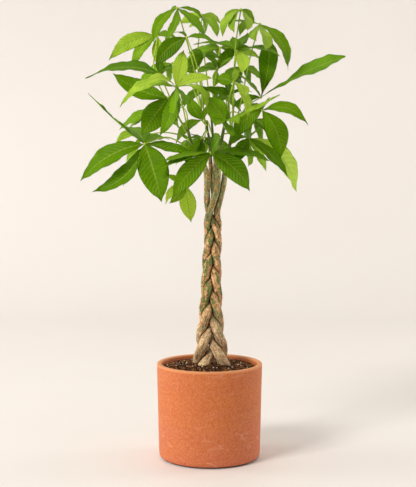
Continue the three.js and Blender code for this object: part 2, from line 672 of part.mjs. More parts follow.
function leafMeshes(stems) {
  const leaves = [...LEAVES, ...BACK_LEAVES];
  const plans = leaves.map((leaf, i) => ({ leaf, number: i + 1, ...leafPlan(leaf, i + 1) }));
  const stemGuards = [];
  stemCourses.forEach((stem) => keep(stemGuards, stemSolid(stem, CLEAR)));
  const placed = [...stemGuards];
  for (const plan of plans) {
    const [stemIndex, height] = plan.leaf.from;
    const ownStem = stemGuards[stemIndex];
    const others = placed.filter((p) => p !== ownStem);
    const [u, v, y] = plan.via;
    for (const shift of FOOT_SHIFTS.flatMap((down) => VIA_SHIFTS.map((back) => [down, back]))) {
      const foot = middleAt(stemCourses[stemIndex].middles, height + shift[0]);
      const course = [foot, seen([u, v, y + shift[1]]), plan.hub];
      if (meets(loft(petioleRings(...course, CLEAR)).subtract(ownStem.solid), others)) continue;
      plan.petiole = loft(petioleRings(...course, 0)).subtract(ownStem.solid);
      break;
    }
    if (!plan.petiole) throw new Error(`no room for the stalk of leaf ${plan.number}`);
    keep(placed, plan.petiole);
  }
  const meshes = [];
  const blades = [];
  for (const plan of plans) {
    const ownPetiole = placed.find((p) => p.solid === plan.petiole);
    const others = [...placed.filter((p) => p !== ownPetiole), ...blades];
    const own = [];
    let solid = solidOfGeometry(new THREE.OctahedronGeometry(HUB_RADIUS).translate(...plan.hub.toArray()));
    solid = solid.add(plan.petiole);
    plan.tips.forEach(({ place: [u, v, y], shown, arch }, index) => {
      const phase = 2 * Math.PI * scatter(plan.number, index);
      for (const [share, shift] of BLADE_SHARES.flatMap((part) => TIP_SHIFTS.map((back) => [part, back]))) {
        const shape = [plan.hub, seen([u, v, y + shift]), shown, arch, phase, share];
        const outer = loft(bladeRings(...shape, CLEAR, BLADE_FREE));
        const whole = loft(bladeRings(...shape, CLEAR));
        if (meets(whole, others) || meets(outer, own)) continue;
        const blade = loft(bladeRings(...shape, 0));
        keep(own, blade);
        solid = solid.add(blade);
        return;
      }
      throw new Error(`no room for leaflet ${index + 1} of leaf ${plan.number}`);
    });
    blades.push(...own);
    const name = `leaf_${String(plan.number).padStart(2, "0")}`;
    const colour = LEAF_COLOURS[plan.leaf.tone];
    const material = new THREE.MeshStandardMaterial({ color: colour, roughness: 0.5, metalness: 0 });
    const clear = solid.subtract(stems[plan.leaf.from[0]]);
    meshes.push(meshOf(name, largestBody(clear), material));
  }
  return meshes;
}

// ---- The plant in its pot ----
const moneyTree = new THREE.Group();
moneyTree.name = "potted_money_tree";
moneyTree.add(meshOf("pot", potSolid(), TERRACOTTA));
moneyTree.add(meshOf("soil", soilSolid(stemCourses.map((stem) => stemSolid(stem, SOIL_HOLE_GAP))), EARTH));
stemCourses.forEach((stem, i) => {
  const earlier = stemCourses.slice(0, i).map((other) => stemSolid(other, GAP));
  const clear = earlier.reduce((solid, other) => solid.subtract(other), stemSolid(stem, 0));
  moneyTree.add(meshOf(stem.name, largestBody(clear), BARK.clone()));
});
moneyTree.add(...leafMeshes(stemCourses.map((stem) => stemSolid(stem, GAP))));

export default moneyTree;
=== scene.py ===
"""Dresses the frame of a potted money tree: terracotta pot, soil, braided stems and palmate leaves.

The frame holds the plain solids. Every finished piece lies where its solid lies and stands for it.
Shapes are worked out in millimetres and made in metres, +Z up and +Y away from the viewer.
"""

import math

import bpy
import numpy as np
from bpy.props import FloatProperty, FloatVectorProperty, IntProperty, PointerProperty
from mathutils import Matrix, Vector, noise
from mathutils.bvhtree import BVHTree
from mathutils.kdtree import KDTree


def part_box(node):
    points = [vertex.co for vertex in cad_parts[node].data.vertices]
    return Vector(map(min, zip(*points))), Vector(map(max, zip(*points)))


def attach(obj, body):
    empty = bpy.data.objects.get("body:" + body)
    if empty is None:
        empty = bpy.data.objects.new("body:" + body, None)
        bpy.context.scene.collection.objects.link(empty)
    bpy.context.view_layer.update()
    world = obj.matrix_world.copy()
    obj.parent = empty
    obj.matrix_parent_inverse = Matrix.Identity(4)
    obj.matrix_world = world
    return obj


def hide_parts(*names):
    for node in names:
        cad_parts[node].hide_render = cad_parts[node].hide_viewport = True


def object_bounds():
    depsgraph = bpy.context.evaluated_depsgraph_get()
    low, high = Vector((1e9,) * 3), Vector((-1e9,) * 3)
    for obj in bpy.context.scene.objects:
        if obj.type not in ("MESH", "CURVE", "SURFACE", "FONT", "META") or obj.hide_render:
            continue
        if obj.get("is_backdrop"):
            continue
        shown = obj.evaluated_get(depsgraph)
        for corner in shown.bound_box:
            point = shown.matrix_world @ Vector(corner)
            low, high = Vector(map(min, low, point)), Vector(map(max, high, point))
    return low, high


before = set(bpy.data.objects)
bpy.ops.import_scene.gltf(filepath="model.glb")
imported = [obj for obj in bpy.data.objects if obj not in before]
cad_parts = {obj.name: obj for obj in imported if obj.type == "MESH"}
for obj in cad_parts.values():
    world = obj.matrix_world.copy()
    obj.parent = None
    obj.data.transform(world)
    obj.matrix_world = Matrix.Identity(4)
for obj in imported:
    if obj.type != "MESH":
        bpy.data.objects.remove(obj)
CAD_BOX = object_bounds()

bl_info = {
    "name": "Potted money tree",
    "version": (1, 0, 0),
    "blender": (4, 5, 0),
    "location": "View3D > Sidebar > Money Tree",
    "description": "Makes a braided money tree in a terracotta pot, piece by piece",
    "category": "Object",
}

MM = 0.001
BODY = "root"
LEVEL = (1, 1, 0)  # times a vector: its level part

# ---- The viewpoint of the photograph ----
# A place in the crown is written as u and v, where its sight line meets the upright plane through the
# pot's axis, and y, its depth behind that plane.
VIEWPOINT = np.array((-2.6, -1926.0, 517.0))
CAMERA_PITCH = 4.48  # degrees below the horizon
CAMERA_LENS = 84.4  # millimetres, for a sensor 36 mm high

# ---- Pot ----
POT_HIGH = np.array(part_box("pot")[1]) / MM
POT_RADIUS = POT_HIGH[0]
POT_HEIGHT = POT_HIGH[2]
POT_BASE_RADIUS = 86.6
POT_WALL = 8.5
POT_FLOOR = 10
POT_FOOT_ROUND = 10
POT_RIM_ROUND = 2.2
POT_UNDERSIDE = [30, 55, 70]  # radii of the rings under the pot
POT_WALL_RINGS = 24
POT_INSIDE = [152, 144, 136, 100, 60]  # heights of the rings inside the pot
POT_CORNER = 5  # size of the slope between the inner wall and the floor
POT_FLOOR_RING = 40  # radius of the last ring on the floor
POT_TRUE_BELOW = 8  # the pot gets out of true up to this height, so that it stands flat
POT_LUMP = 45  # size of the lumps that put the pot out of true
POT_LUMP_RING = 60  # radius where they are read, for the wall's outside and inside alike

# ---- Soil ----
SOIL_EDGE = 152.5  # height where the soil meets the wall
SOIL_MOUND = 8  # extra height at the trunk
SOIL_SLOPE = 1.5  # how the mound falls off: 1 for a cone, more for a flatter top
SOIL_OVER = 1.4  # how far the lumpy surface lies above the solid's
SOIL_LUMPS = [(1.1, 9, 1), (0.5, 3.5, 2)]  # height, size and seed
SOIL_RINGS = 44
SOIL_SIDES = 120
SOIL_CLEAR = 0.4  # between soil and pot, at the top and underneath
SOIL_WALL_CLEAR = 0.5  # the same at the foot of the wall
SOIL_FOOT_CLEAR = 0.6  # and at the edge of the floor
FULL_TURN = 6.283
PATCH_SIDE = 46  # points along one side of the patch that the bits are strewn on
PATCH_CLEAR = 2.6  # between that patch and the pot's wall

# ---- Stems ----
STEM_BOTTOM = 138
STEM_BEND = 150  # straight below this height
COURSE_BOTTOM = 110
COURSE_STEP = 4  # height between the points of the braid
COURSE_POINTS = 600
BRAID_TOP = 378
BRAID_PITCH = 213  # height of one full turn of the braid
BRAID_START = 203  # height where the first stem crosses the middle
BRAID_KEY_HEIGHTS = [120, 160, 218, 250, 300, 344, 378]
BRAID_MIDDLES = [3.5, 3.4, 1.9, 2.4, 3.2, 3.9, 6.0]  # x of the braid's middle
BRAID_REACHES = [24, 22.5, 15.3, 12.5, 10.5, 9.4, 9.0]  # sideways, to a stem's middle
BRAID_DEPTHS = [15, 14, 11.5, 10.5, 10.3, 10, 9.4]  # front to back, to a stem's middle
GIRTH_HEIGHTS = [120, 160, 218, 300, 378, 440, 480, 520, 560, 590]
GIRTHS = [8.4, 8.1, 7.1, 6.3, 5.5, 5.1, 4.8, 3.4, 2.3, 1.9]  # stem radius
GIRTH_RISE = 60  # height above the braid over which each stem takes on its own share of the girth
SWELL_HEIGHTS = [160, 250, 380, 420, 470]
SWELLS = [2.6, 1.3, 0.8, 0.2, 0.1]  # fullness of the finished stems, as a share of their setting
FLARE = 0.1  # how much wider the stems get at the soil, as a share
FLARE_HEIGHTS = [156, 176]
PRESS_SHARPNESS = 0.9  # how crisp the edge is where stems press together
PRESS_REACH = 30  # distance beyond which a neighbour doesn't matter
LEAST_FACING = 0.05  # cosine to a neighbour below which a stem isn't pressed by it
CREASE = [-0.8, 5.0]  # gap to a neighbour where the painted shade of a crease is darkest, and where it ends
CREASE_SHAPE = 1.3  # how fast that painted shade fades: 1 for evenly
STEM_LUMPS = [(0.34, 9, 1), (0.2, 3, 0.5)]  # height, size and how far the lumps are drawn out upwards
RIDGE = 0.26  # height of the scars round a stem
RIDGE_WAVE = 3.1  # height in which their wave turns by one radian
RIDGE_WANDER = 4  # how far noise moves that wave, in radians
RIDGE_WANDER_SIZE = 14
RIDGE_SHARPNESS = 8
SHOOT_FADE = [510, 536]  # bark gives way to the green shoots between these heights
SHOOT_ROUGHNESS = 0.25  # lumps of the shoots, as a share of the bark's
STEM_TOP = [(0.95, 0), (0.7, 1), (0.3, 1.8)]  # share of the width and rise of the rings that end a stem
STEM_TIP = 2  # rise of its last point
STRAIGHT_APART = 300  # distance between the straightened stems that the bark's pattern lies on

# ---- Leaf stalks ----
PETIOLE_FOOT = 1.7  # radius at the stem
PETIOLE_HEAD = 1.15  # radius at the leaflets
PETIOLE_SLIM = 0.86  # share of that radius between the swollen ends
PETIOLE_SWELLS = [(0.5, 0.06), (0.35, 0.04)]  # more at the foot and at the head: how much, and how far along
PETIOLE_STEPS = 48
KNEE_OUT = 4  # how far a leaf stalk stands off its stem before it turns up
KNEE_UP = 2.5
HUB_KNOB = 2.4  # radius of the knob that the leaflets grow from
HUB_RINGS = 7
HUB_SIDES = 12

# ---- Leaflets ----
BLADE_BREADTH = 0.34  # least breadth, as a share of the length
BLADE_STALK = 1.1  # half width at the hub
BLADE_FOLD = 0.22  # rise of the edges, as a share of the half width
BLADE_WAVE = 0.05  # height of the edge waves, as a share of the breadth
BLADE_WAVES = 2.6  # waves along one edge
BLADE_RISE = 1.1  # shape of the outline towards the stalk
BLADE_FALL = 0.95  # shape of the outline towards the tip
POINT_FALL = 1.15  # the same for the finer, more pointed outline
DRIP_START = 0.85  # share of the length where the drip tip begins to narrow
DRIP_END = 0.95  # and where it is at its narrowest
DRIP_CUT = 0.45  # share of the width that it loses
FINE_DRIP = 0.3  # share that the finer drip tip loses
FINE_FOLD = 0.17  # the fold and the waves of the finer leaflets
FINE_WAVE = 0.03
FOLD_SHAPE = 1.3  # how the fold and the waves grow towards the edge
RIB_THICK = 0.95  # half width of the thick rib
RIB_ABOVE = 0.18  # how far it sinks into the upper side
RIB_BELOW = 0.5  # and how far it stands out below
BLADE_SLIMMING = [0.5, 0.97]  # shares of the length between which the least width falls to half
BLADE_POINT = [0.985, 1]  # and between which the point closes
BLADE_POINT_CUT = 0.92  # share of the width that is gone at the very tip
BLADE_ROUNDING = 1.2  # half width below which a leaflet gets thinner
BLADE_UNFOLDING = [0.03, 0.14]  # shares of the length between which a leaflet opens up from its stalk
BLADE_FLAT_TIP = 0.12  # share of the length at the tip where quilting and ripples die out
BLADE_START = 0.015  # share of the length where the leaflet comes out of the hub
BLADE_ROW_SPREAD = 0.96  # how its rows and columns are spaced: 1 for evenly
BLADE_COLUMN_SPREAD = 0.85
RIB_TAPER = 0.75  # share of the rib's thickness that is gone at the tip
SIDE_VEIN_SLANT = 2.4  # how far the side veins run forward on their way out
SIDE_VEIN_BEND = 1.35  # how they bend forward: 1 for straight
QUILT_LENGTH = 90  # length of the leaflet that the quilting is set for
QUILT_SHAPE = 0.8  # how round the quilting is between two veins
QUILT_EDGE = 0.6  # and how it dies out towards the rib and the edge
RIPPLE_SHAPE = 3  # how the ripples grow towards the edge
RIPPLE_OFFSET = 1.9  # how far the ripples of the two edges are out of step, as an angle
STEEP = 0.35  # a leaflet whose face lies less level than this shows the viewer its upper side
LEAF_LIGHT_SHARE = 0.35  # share of the light that shines through a leaflet
TONE_SPREAD = 0.16  # how much the freshness of unlisted leaflets varies

# ---- Leaves at the back ----
BACK_SLOPE_SPREAD = 12  # degrees between the flattest and the steepest leaflet
BACK_LENGTHS = [0.8, 1.1]  # of the reach
BACK_SHOWN = 0.2  # of the length
BACK_ARCH = 0.08
BACK_VIA_UP = 300  # height that is added halfway along the stalk

# Where a stalk or leaflet had no room, its solid was moved by one of these steps. The step is read back
# from the solid: a corner of it lies within CORNER_MATCH of the right place.
TIP_SHIFTS = [0, 8, -8, 16, -16, 24, -24, 34, -34, 46, -46, 60, -60, 76, -76]
BLADE_SHARES = [1, 0.75, 0.5]  # of the full breadth
VIA_SHIFTS = [0, 6, -6, 13, -13, 21, -21, 30, -30]
FOOT_SHIFTS = [0, -5, 5, -10, 10, -16, 16, -23, -30, -38]
TRIAL_STEPS = 24  # along the path of a stalk while its place is sought
KNEE_STEPS = 4  # of these, at the foot, aren't compared
CORNER_MATCH = 0.06
MARK_STATION = 0.55  # share of the length where an edge corner shows how broad a leaflet is

# ---- Stage, in metres ----
FLOOR_HALF_WIDTH = 3.0
FLOOR_NEAR = -3.0
FLOOR_FAR = 1.6
BACKDROP_BEND = 0.7  # radius of the curve between floor and backdrop
BACKDROP_TOP = 3.4
BACKDROP_STEPS = 16
BACKDROP_COLUMNS = 9
EDGE_STRENGTH = 0.92  # of the paper's colour that the camera sees past the backdrop's edges

# ---- The five stems above the braid: x, y and z down the middle of each ----
STEMS = [
    dict(name="stem_1_left", phase=0, girth=1.05, path=[
        (12, -8.5, 388), (7, -6.5, 401), (0.5, 1, 415), (-3, 4, 430), (-4, 2, 450), (-4.5, -3, 480),
        (-8, -4, 495), (-15.5, -7, 510), (-26, -10, 524), (-31, -12, 536), (-34, -14, 548),
        (-37.5, -16, 562),
    ]),
    dict(name="stem_2_back_left", phase=3, girth=0.85, path=[
        (3.5, -4.5, 388), (7.1, 2.5, 400), (11, 9.5, 415), (11.5, 11.5, 430), (7, 12, 450),
        (3, 11.5, 480), (2, 12, 500), (1, 11, 520), (0, 8, 540), (-3.5, 5, 557), (-5, 4, 572),
    ]),
    dict(name="stem_3_back", phase=1, girth=0.85, path=[
        (3, 7.5, 388), (0, 9.5, 400), (1.5, 10, 415), (3.5, 8, 430), (7, 3, 450), (8.5, 4, 465),
        (8.5, 5, 480), (9.5, 8, 500), (9, 11, 520), (6, 14, 545), (3, 16, 580),
    ]),
    dict(name="stem_4_front", phase=2, girth=1.05, path=[
        (-3, -1.5, 388), (-3.5, -7, 400), (-3, -9, 410), (0, -9, 420), (4, -8, 430), (7, -7, 440),
        (10.5, -6.5, 450), (13, -6, 460), (14, -6, 480), (15, -5, 500), (16, -5, 520), (19, -7, 535),
        (22, -9, 550), (25, -12, 566),
    ]),
    dict(name="stem_5_right", phase=4, girth=1, path=[
        (14, 8, 388), (14.8, 3, 400), (13, -1, 410), (12.8, -1.5, 420), (15, -1, 430), (17.5, 0, 440),
        (20, 0, 450), (22.5, 0, 460), (25.5, 1, 480), (28.5, 2, 511), (34, 3, 533), (37, 4, 548),
        (37, 6, 566),
    ]),
]

# ---- The crown ----
# start: the stem, and the height on it where the leaf stalk starts. hub: u, v and y where the leaflets meet.
# via: a place that the stalk passes. reach: the usual leaflet length, which sets how far each tip lies
# in front of the hub or behind it. Each leaflet: u and v of its tip, side (-1 to the front, 1 to the
# back), the width that shows (below 0 where the underside shows), and how far it arches, as a share.
# fresh: how fresh each leaflet looks, from 0 for the darkest and oldest to 1 for the youngest; partly
# painted light, where a leaflet in shade is set fresher to lift it. A leaf without it goes by its tone,
# whose freshness is also set higher as painted light against the shade inside the crown.
TONE_FRESHNESS_AND_LIGHT = {"dark": 0.38, "mid": 0.56, "young": 0.85}
LEAVES = [
    dict(tone="mid", start=(1, 568), hub=(-54, 759, 0), via=(-28, 668, -4), reach=78, leaflets=[
        (-93.5, 701, -0.5, 20, 0.14), (-76, 702, -1, 17, -0.08), (-8, 712, -0.6, 16, 0.07),
        (-70, 750, 0.6, 6, 0.04), (-6, 723, 0.6, 10, 0.22),
    ], fresh=[0.42, 0.25, 0.48, 0.3, 0.4]),
    dict(tone="young", start=(2, 574), hub=(-12, 748, 45), via=(-19, 684, 34), reach=70, leaflets=[
        (-50, 734, 0.4, 16, 0.06), (-34, 728, 0.8, 9, 0), (20, 732, 0.4, 10, 0.12),
        (13, 711, -0.6, 14, 0.1), (-9, 716, 1, 9, 0.1),
    ], fresh=[0.9, 0.8, 0.8, 0.7, 0.7]),
    dict(tone="young", start=(4, 562), hub=(52, 757, -5), via=(43, 692, -8), reach=74, leaflets=[
        (20, 727, 0.5, 13, 0.1), (22, 712, -0.6, 13, 0.14), (41, 719, -0.9, 10, 0.1),
        (75, 735, 0.4, 11, 0.1), (63, 722, -0.8, 12, 0.08),
    ], fresh=[0.65, 0.75, 0.7, 0.62, 0.75]),
    dict(tone="mid", start=(4, 554), hub=(84, 733, 8), via=(70, 687, 6), reach=86, leaflets=[
        (131, 657, -0.2, 19, 0.16), (93, 689, -0.9, 18, 0.06), (78.5, 705, -0.7, 14, 0.1),
        (24, 737, -0.2, 7, 0.04), (50, 712, -0.5, 13, 0.2),
    ], fresh=[0.55, 0.8, 0.75, 0.75, 0.8]),
    dict(tone="young", start=(0, 556), hub=(-87, 713, 30), via=(-91.5, 650, 0), reach=90, leaflets=[
        (-168.5, 673, 0, 30, 0.13), (-128, 660, -0.4, 18, 0.12), (-76, 656, -0.2, 23, -0.05),
        (-54, 709, 0.5, 10, 0.1),
    ], fresh=[0.82, 0.6, 0.85, 0.6]),
    dict(tone="dark", start=(1, 560), hub=(-38, 711, -40), via=(-20, 660, -24), reach=80, leaflets=[
        (-90.5, 663.5, -0.4, 28, 0.1), (12, 700, 0.4, 8, 0.12), (-59, 719, 0.3, 4, 0.12),
    ], fresh=[0.14, 0.35, 0.25]),
    dict(tone="young", start=(0, 558), hub=(-56, 629, -75), via=(-44, 592, -48), reach=96, leaflets=[
        (-58.5, 582, -1, 15, 0), (-150, 595, 0, 16, 0.2), (-84, 547, -0.3, 25, -0.08),
        (6, 643.5, 0.3, 17, 0.1), (-4, 586, -0.3, 10, 0.3), (-112, 624, -0.3, 12, 0.3),
        (-43, 691, 0.6, -26, 0), (-42.5, 598, -0.9, 13, 0.05),
    ], fresh=[0.5, 0.82, 0.26, 1.0, 0.78, 0.9, 1.0, 0.42]),
    dict(tone="dark", start=(0, 552), hub=(-83, 650, -15), via=(-62, 602, -22), reach=124, leaflets=[
        (-207.5, 643, 0, 17, 0.12), (-84, 677, 0.9, 14, 0), (-50, 661, 0.5, 8, 0.1),
    ], fresh=[0.08, 0.08, 0.15]),
    dict(tone="mid", start=(0, 538), hub=(-109, 534, -44.5), via=(-70, 545, -30), reach=116, leaflets=[
        (-217.5, 471, 0, 31, 0.1), (-81, 436, -0.4, 50, 0.02), (-198, 453, 0.1, 26, -0.14),
        (-203, 619, 0.1, 3, -0.03), (-22, 514, 0.3, 16, 0.03), (-139, 563, 0.9, 24, 0.05),
        (-67.5, 541, 0.6, 12, 0.1),
    ], fresh=[0.26, 0.24, 0.14, 0.2, 0.35, 0.3, 0.4]),
    dict(tone="mid", start=(3, 528), hub=(2, 519, -60), via=(10, 525, -34), reach=106, leaflets=[
        (-63, 442, -0.35, 34, 0.06), (68, 454, -0.35, 36, 0.1), (-92, 487, 0.1, 10, 0.05),
        (106.5, 503.5, 0.1, 12, 0.07), (19, 548, -0.9, 17, 0), (-82, 503, 0.4, 9, 0.04),
    ], fresh=[0.3, 0.26, 0.32, 0.28, 0.0, 0.5]),
    dict(tone="dark", start=(4, 558), hub=(86, 612, 20), via=(62, 596, 14), reach=105, leaflets=[
        (227, 680, 0, 25, 0.03), (99.5, 710, 0.3, 32, -0.05), (37, 593, 0.2, 13, 0.1),
        (45, 652, 0.4, 5, 0.04),
    ], fresh=[0.3, 0.16, 0.26, 0.36]),
    dict(tone="dark", start=(4, 550), hub=(88, 590, -10), via=(63, 575, -6), reach=86, leaflets=[
        (119.5, 509, -0.3, 37, 0.12), (165.5, 565, 0, 20, 0.2), (40, 541, -0.3, 29, 0.12),
        (96, 607, 1, 10, 0), (60, 600, 0.5, 6, 0.1), (54, 574, 0.8, 13, 0.1),
    ], fresh=[0.4, 0.45, 0.4, 0.3, 0.28, 0.34]),
    dict(tone="mid", start=(3, 548), hub=(66, 544, -24), via=(44, 551, -22), reach=150, leaflets=[
        (131.5, 480.5, -0.2, 23, 0.06), (46, 502, -0.35, 23, 0.05), (147, 454, 0.6, 27, 0.13),
        (96, 488, 0.35, 16, 0.03), (65.5, 496, 0.45, 13, 0), (36, 532, -0.37, 12, 0.12),
        (84, 561, 0.38, 4, 0),
    ], fresh=[0.22, 0.34, 1.0, 0.85, 0.3, 0.35, 0.4]),
    dict(tone="young", start=(3, 562), hub=(27, 572, -58), via=(25, 561, -34), reach=76, leaflets=[
        (-3, 613, 0.4, 34, 0), (118, 616.5, 0.2, 11, -0.03), (9, 563, -0.9, 15, 0.08),
        (50, 567, -0.8, 13, 0.1), (36, 546, -0.9, 15, 0), (19, 604, 0.9, 14, 0),
    ], fresh=[0.5, 0.75, 0.5, 0.6, 0.5, 0.6]),
    dict(tone="dark", start=(2, 578), hub=(13, 658, 5), via=(6, 618, 12), reach=76, leaflets=[
        (48, 697, 0.3, 19, 0.05), (-18, 657, 0.6, 11, 0.12), (-21, 652.5, -0.6, 9, 0.05),
        (40, 677, -0.5, 5, 0.05), (6, 628, 0.5, 12, 0),
    ]),
    dict(tone="dark", start=(4, 564), hub=(46, 688, 2), via=(40, 642, 4), reach=80, leaflets=[
        (54, 650, -0.6, 22, 0.12), (-27, 699, -0.2, 4, 0.1), (118, 680, -0.2, 7, 0.12),
        (3, 700, 0.3, 9, 0.12), (38, 713, 0.8, 17, 0), (64, 719, 0.6, 15, 0), (69, 693, 0.3, 10, 0.12),
    ], fresh=[1.0, 0.5, 0.6, 0.4, 0.15, 0.2, 0.45]),
    dict(tone="young", start=(0, 500), hub=(-42, 466, -12), via=(-27, 481, -12), reach=64, leaflets=[
        (-31, 402, -0.3, 28, 0), (-74.5, 432, 0.2, 13, 0.15), (-68, 434, -0.7, 17, -0.08),
        (-75.5, 483, 0.2, 10, 0.03),
    ], fresh=[1.0, 1.0, 0.95, 1.0]),
    dict(tone="dark", start=(0, 546), hub=(-69, 611, -34), via=(-52, 578, -24), reach=90, leaflets=[
        (-163, 652, 0, 30, -0.07), (-114, 548, -0.2, 40, 0.02), (-53, 572, 0.6, 12, 0),
    ], fresh=[0.34, 0.28, 0.44]),
    dict(tone="mid", start=(1, 562), hub=(-13, 574, -14), via=(-8, 567, -6), reach=62, leaflets=[
        (-56.5, 534.5, 0, 16, 0.13), (-36, 613, 0.3, 21, -0.05), (-31, 588, 0.7, 9, 0),
        (-2, 600, 0.8, 9, 0),
    ]),
    dict(tone="dark", start=(1, 552), hub=(-13, 543, -24), via=(-9, 552, -14), reach=58, leaflets=[
        (-40, 497, -0.5, 15, 0.05), (-14, 497, -0.5, 14, 0), (-24, 508, 0.5, 13, 0),
        (-31, 551, 0.8, 4, 0), (3, 527, -0.4, 5, 0),
    ]),
    dict(tone="mid", start=(0, 530), hub=(-36, 541, -27), via=(-33, 537, -20), reach=46, leaflets=[
        (-47, 503, -0.3, 12, 0.08), (-47, 548, 0.6, 6, 0.1), (-16, 547, 0.6, 4, 0.05),
    ]),
    dict(tone="young", start=(4, 560), hub=(40, 637, -30), via=(33, 606, -18), reach=72, leaflets=[
        (63.5, 574, -0.4, 14, 0.14), (58, 608, -0.7, 13, 0.15), (9, 641, 0.2, 21, 0.1),
        (57, 635, 0.7, 8, 0.1), (47, 662, 0.7, 12, 0),
    ], fresh=[0.95, 0.9, 0.5, 0.6, 0.8]),
    dict(tone="dark", start=(3, 564), hub=(31, 613, 2), via=(31, 590, -4), reach=66, leaflets=[
        (8, 629, 0.4, 10, 0.1), (71, 620.5, -0.1, 8, 0.16), (16, 602, -0.6, 12, 0.1),
        (-13, 627, 0.3, 11, 0.05), (30, 648, 0.7, 14, 0),
    ]),
    dict(tone="dark", start=(2, 572), hub=(-9, 680, 20), via=(-3, 632, 16), reach=64, leaflets=[
        (-37, 685, 0.5, 11, 0.12), (18, 676, 0.4, 10, 0.12), (13, 661, -0.4, 9, 0.12),
        (-41, 662, -0.3, 14, 0.08), (-31, 650, -0.5, 13, 0.08),
    ]),
    dict(tone="young", start=(0, 542), hub=(-111, 549, 22), via=(-72, 553, 4), reach=72, leaflets=[
        (-159.5, 531, -0.2, 13, 0.2), (-128, 506, -0.3, 10, 0.08), (-145, 463, 0.2, 10, 0.05),
        (-88, 590, 0.8, 14, 0),
    ], fresh=[0.75, 0.7, 0.7, 0.6]),
]

# Leaves at the back of the crown. fan: compass angles of the first and last leaflet, in degrees, with 0
# at +X and 90 at +Y. droop: how far the leaflets slope down, in degrees.
BACK_LEAVES = [
    dict(tone="dark", start=(1, 566), hub=(-62, 668, 92), reach=74, fan=(40, 150), count=5, droop=24),
    dict(tone="mid", start=(2, 578), hub=(18, 694, 92), reach=76, fan=(30, 150), count=5, droop=20),
    dict(tone="dark", start=(4, 562), hub=(56, 660, 88), reach=64, fan=(55, 140), count=5, droop=24),
    dict(tone="mid", start=(0, 550), hub=(-88, 588, 84), reach=76, fan=(60, 150), count=5, droop=22),
    dict(tone="dark", start=(2, 566), hub=(0, 628, 112), reach=80, fan=(20, 160), count=6, droop=30),
    dict(tone="mid", start=(4, 548), hub=(72, 574, 92), reach=76, fan=(30, 120), count=5, droop=28),
    dict(tone="dark", start=(2, 548), hub=(-8, 545, 84), reach=72, fan=(30, 150), count=5, droop=34),
]

# The outline of single leaflets, by leaf and leaflet: its shape towards the stalk and towards the tip, and
# its fullness.
LEAFLET_FORMS = {
    (1, 1): (1.1, 1.15, 0.88), (1, 2): (1.1, 1.15, 0.8), (1, 3): (1.1, 1.15, 0.9),
    (1, 5): (1.1, 1.15, 0.6), (5, 1): (1.0, 1.1, 0.86), (8, 1): (0.85, 1.7, 1), (9, 2): (0.85, 1.05, 1),
    (9, 4): (1.1, 1.15, 0.6), (11, 1): (2.6, 0.95, 0.9), (11, 2): (1.5, 0.9, 1),
    (13, 1): (1.1, 1.1, 0.75), (13, 3): (1.2, 0.75, 1.25), (14, 2): (1.1, 1.1, 0.62),
}


# ---- Small tools for shapes ----
def seen(place):
    """The point at depth y on the sight line through u and v."""
    u, v, y = place
    share = 1 - y / VIEWPOINT[1]
    x = VIEWPOINT[0] + share * (u - VIEWPOINT[0])
    z = VIEWPOINT[2] + share * (v - VIEWPOINT[2])
    return np.array((x, y, z))


def scatter(i, j):
    """A repeatable number from 0 to 1 for two whole numbers."""
    raw = math.sin(i * 12.9898 + j * 78.233) * 43758.5453
    return raw - math.floor(raw)


def unit(way):
    """A vector, or each row of vectors, at length 1."""
    return way / np.linalg.norm(way, axis=-1, keepdims=True)


def towards(way, target):
    """A vector, turned round where it points away from a target direction."""
    return -way if way @ target < 0 else way


def smooth(low, high, at):
    """0 below low, 1 above high and a smooth rise between them."""
    share = np.clip((np.asarray(at, float) - low) / (high - low), 0, 1)
    return share * share * (3 - 2 * share)


def through(points, count):
    """count + 1 points on a centripetal Catmull-Rom curve through the given points."""
    points = np.asarray(points, float)
    before = 2 * points[0] - points[1]
    beyond = 2 * points[-1] - points[-2]
    padded = np.vstack((before, points, beyond))
    knots = np.linalg.norm(np.diff(padded, axis=0), axis=1) ** 0.5
    place = np.linspace(0, len(points) - 1, count + 1)
    start = np.minimum(place.astype(int), len(points) - 2)
    w = (place - start)[:, None]
    x0, x1, x2, x3 = (padded[start + i] for i in range(4))
    d0, d1, d2 = (knots[start + i][:, None] for i in range(3))
    leave = ((x1 - x0) / d0 - (x2 - x0) / (d0 + d1) + (x2 - x1) / d1) * d1
    arrive = ((x2 - x1) / d1 - (x3 - x1) / (d1 + d2) + (x3 - x2) / d2) * d1
    square = -3 * x1 + 3 * x2 - 2 * leave - arrive
    cube = 2 * x1 - 2 * x2 + leave + arrive
    return x1 + leave * w + square * w**2 + cube * w**3


def roughly(point, size, seed):
    """Smooth noise from -1 to 1 at a point in millimetres, with lumps of about the given size."""
    return noise.noise(Vector(point) / size + Vector((seed * 17.3, seed * 5.1, 0)))


def compass(sides):
    """The directions of evenly spread points on a circle, as x and y."""
    turns = [2 * math.pi * i / sides for i in range(sides)]
    return [(math.cos(turn), math.sin(turn)) for turn in turns]


def grid_faces(rows, columns, first=0, wrap=True):
    """The quads between rows of points. With wrap, each row closes on itself."""
    faces = []
    for r in range(rows - 1):
        for c in range(columns if wrap else columns - 1):
            a = first + r * columns + c
            b = first + r * columns + (c + 1) % columns
            faces.append((a, b, b + columns, a + columns))
    return faces


def fan_faces(middle, ring, sides):
    """The triangles between a middle point and the ring of points that starts at an index."""
    return [(middle, ring + i, ring + (i + 1) % sides) for i in range(sides)]


def turned(faces):
    """The same faces, looking the other way."""
    return [tuple(reversed(face)) for face in faces]


def new_object(name, data):
    """A new object in the scene."""
    made = bpy.data.objects.new(name, data)
    bpy.context.scene.collection.objects.link(made)
    return made


def mesh_object(name, points, faces, materials):
    """A new smooth object of points in millimetres. It sits at the origin, with its place in its mesh."""
    mesh = bpy.data.meshes.new(name)
    mesh.from_pydata((np.asarray(points) * MM).tolist(), [], faces)
    mesh.polygons.foreach_set("use_smooth", [True] * len(mesh.polygons))
    for material in materials:
        mesh.materials.append(material)
    return new_object(name, mesh)


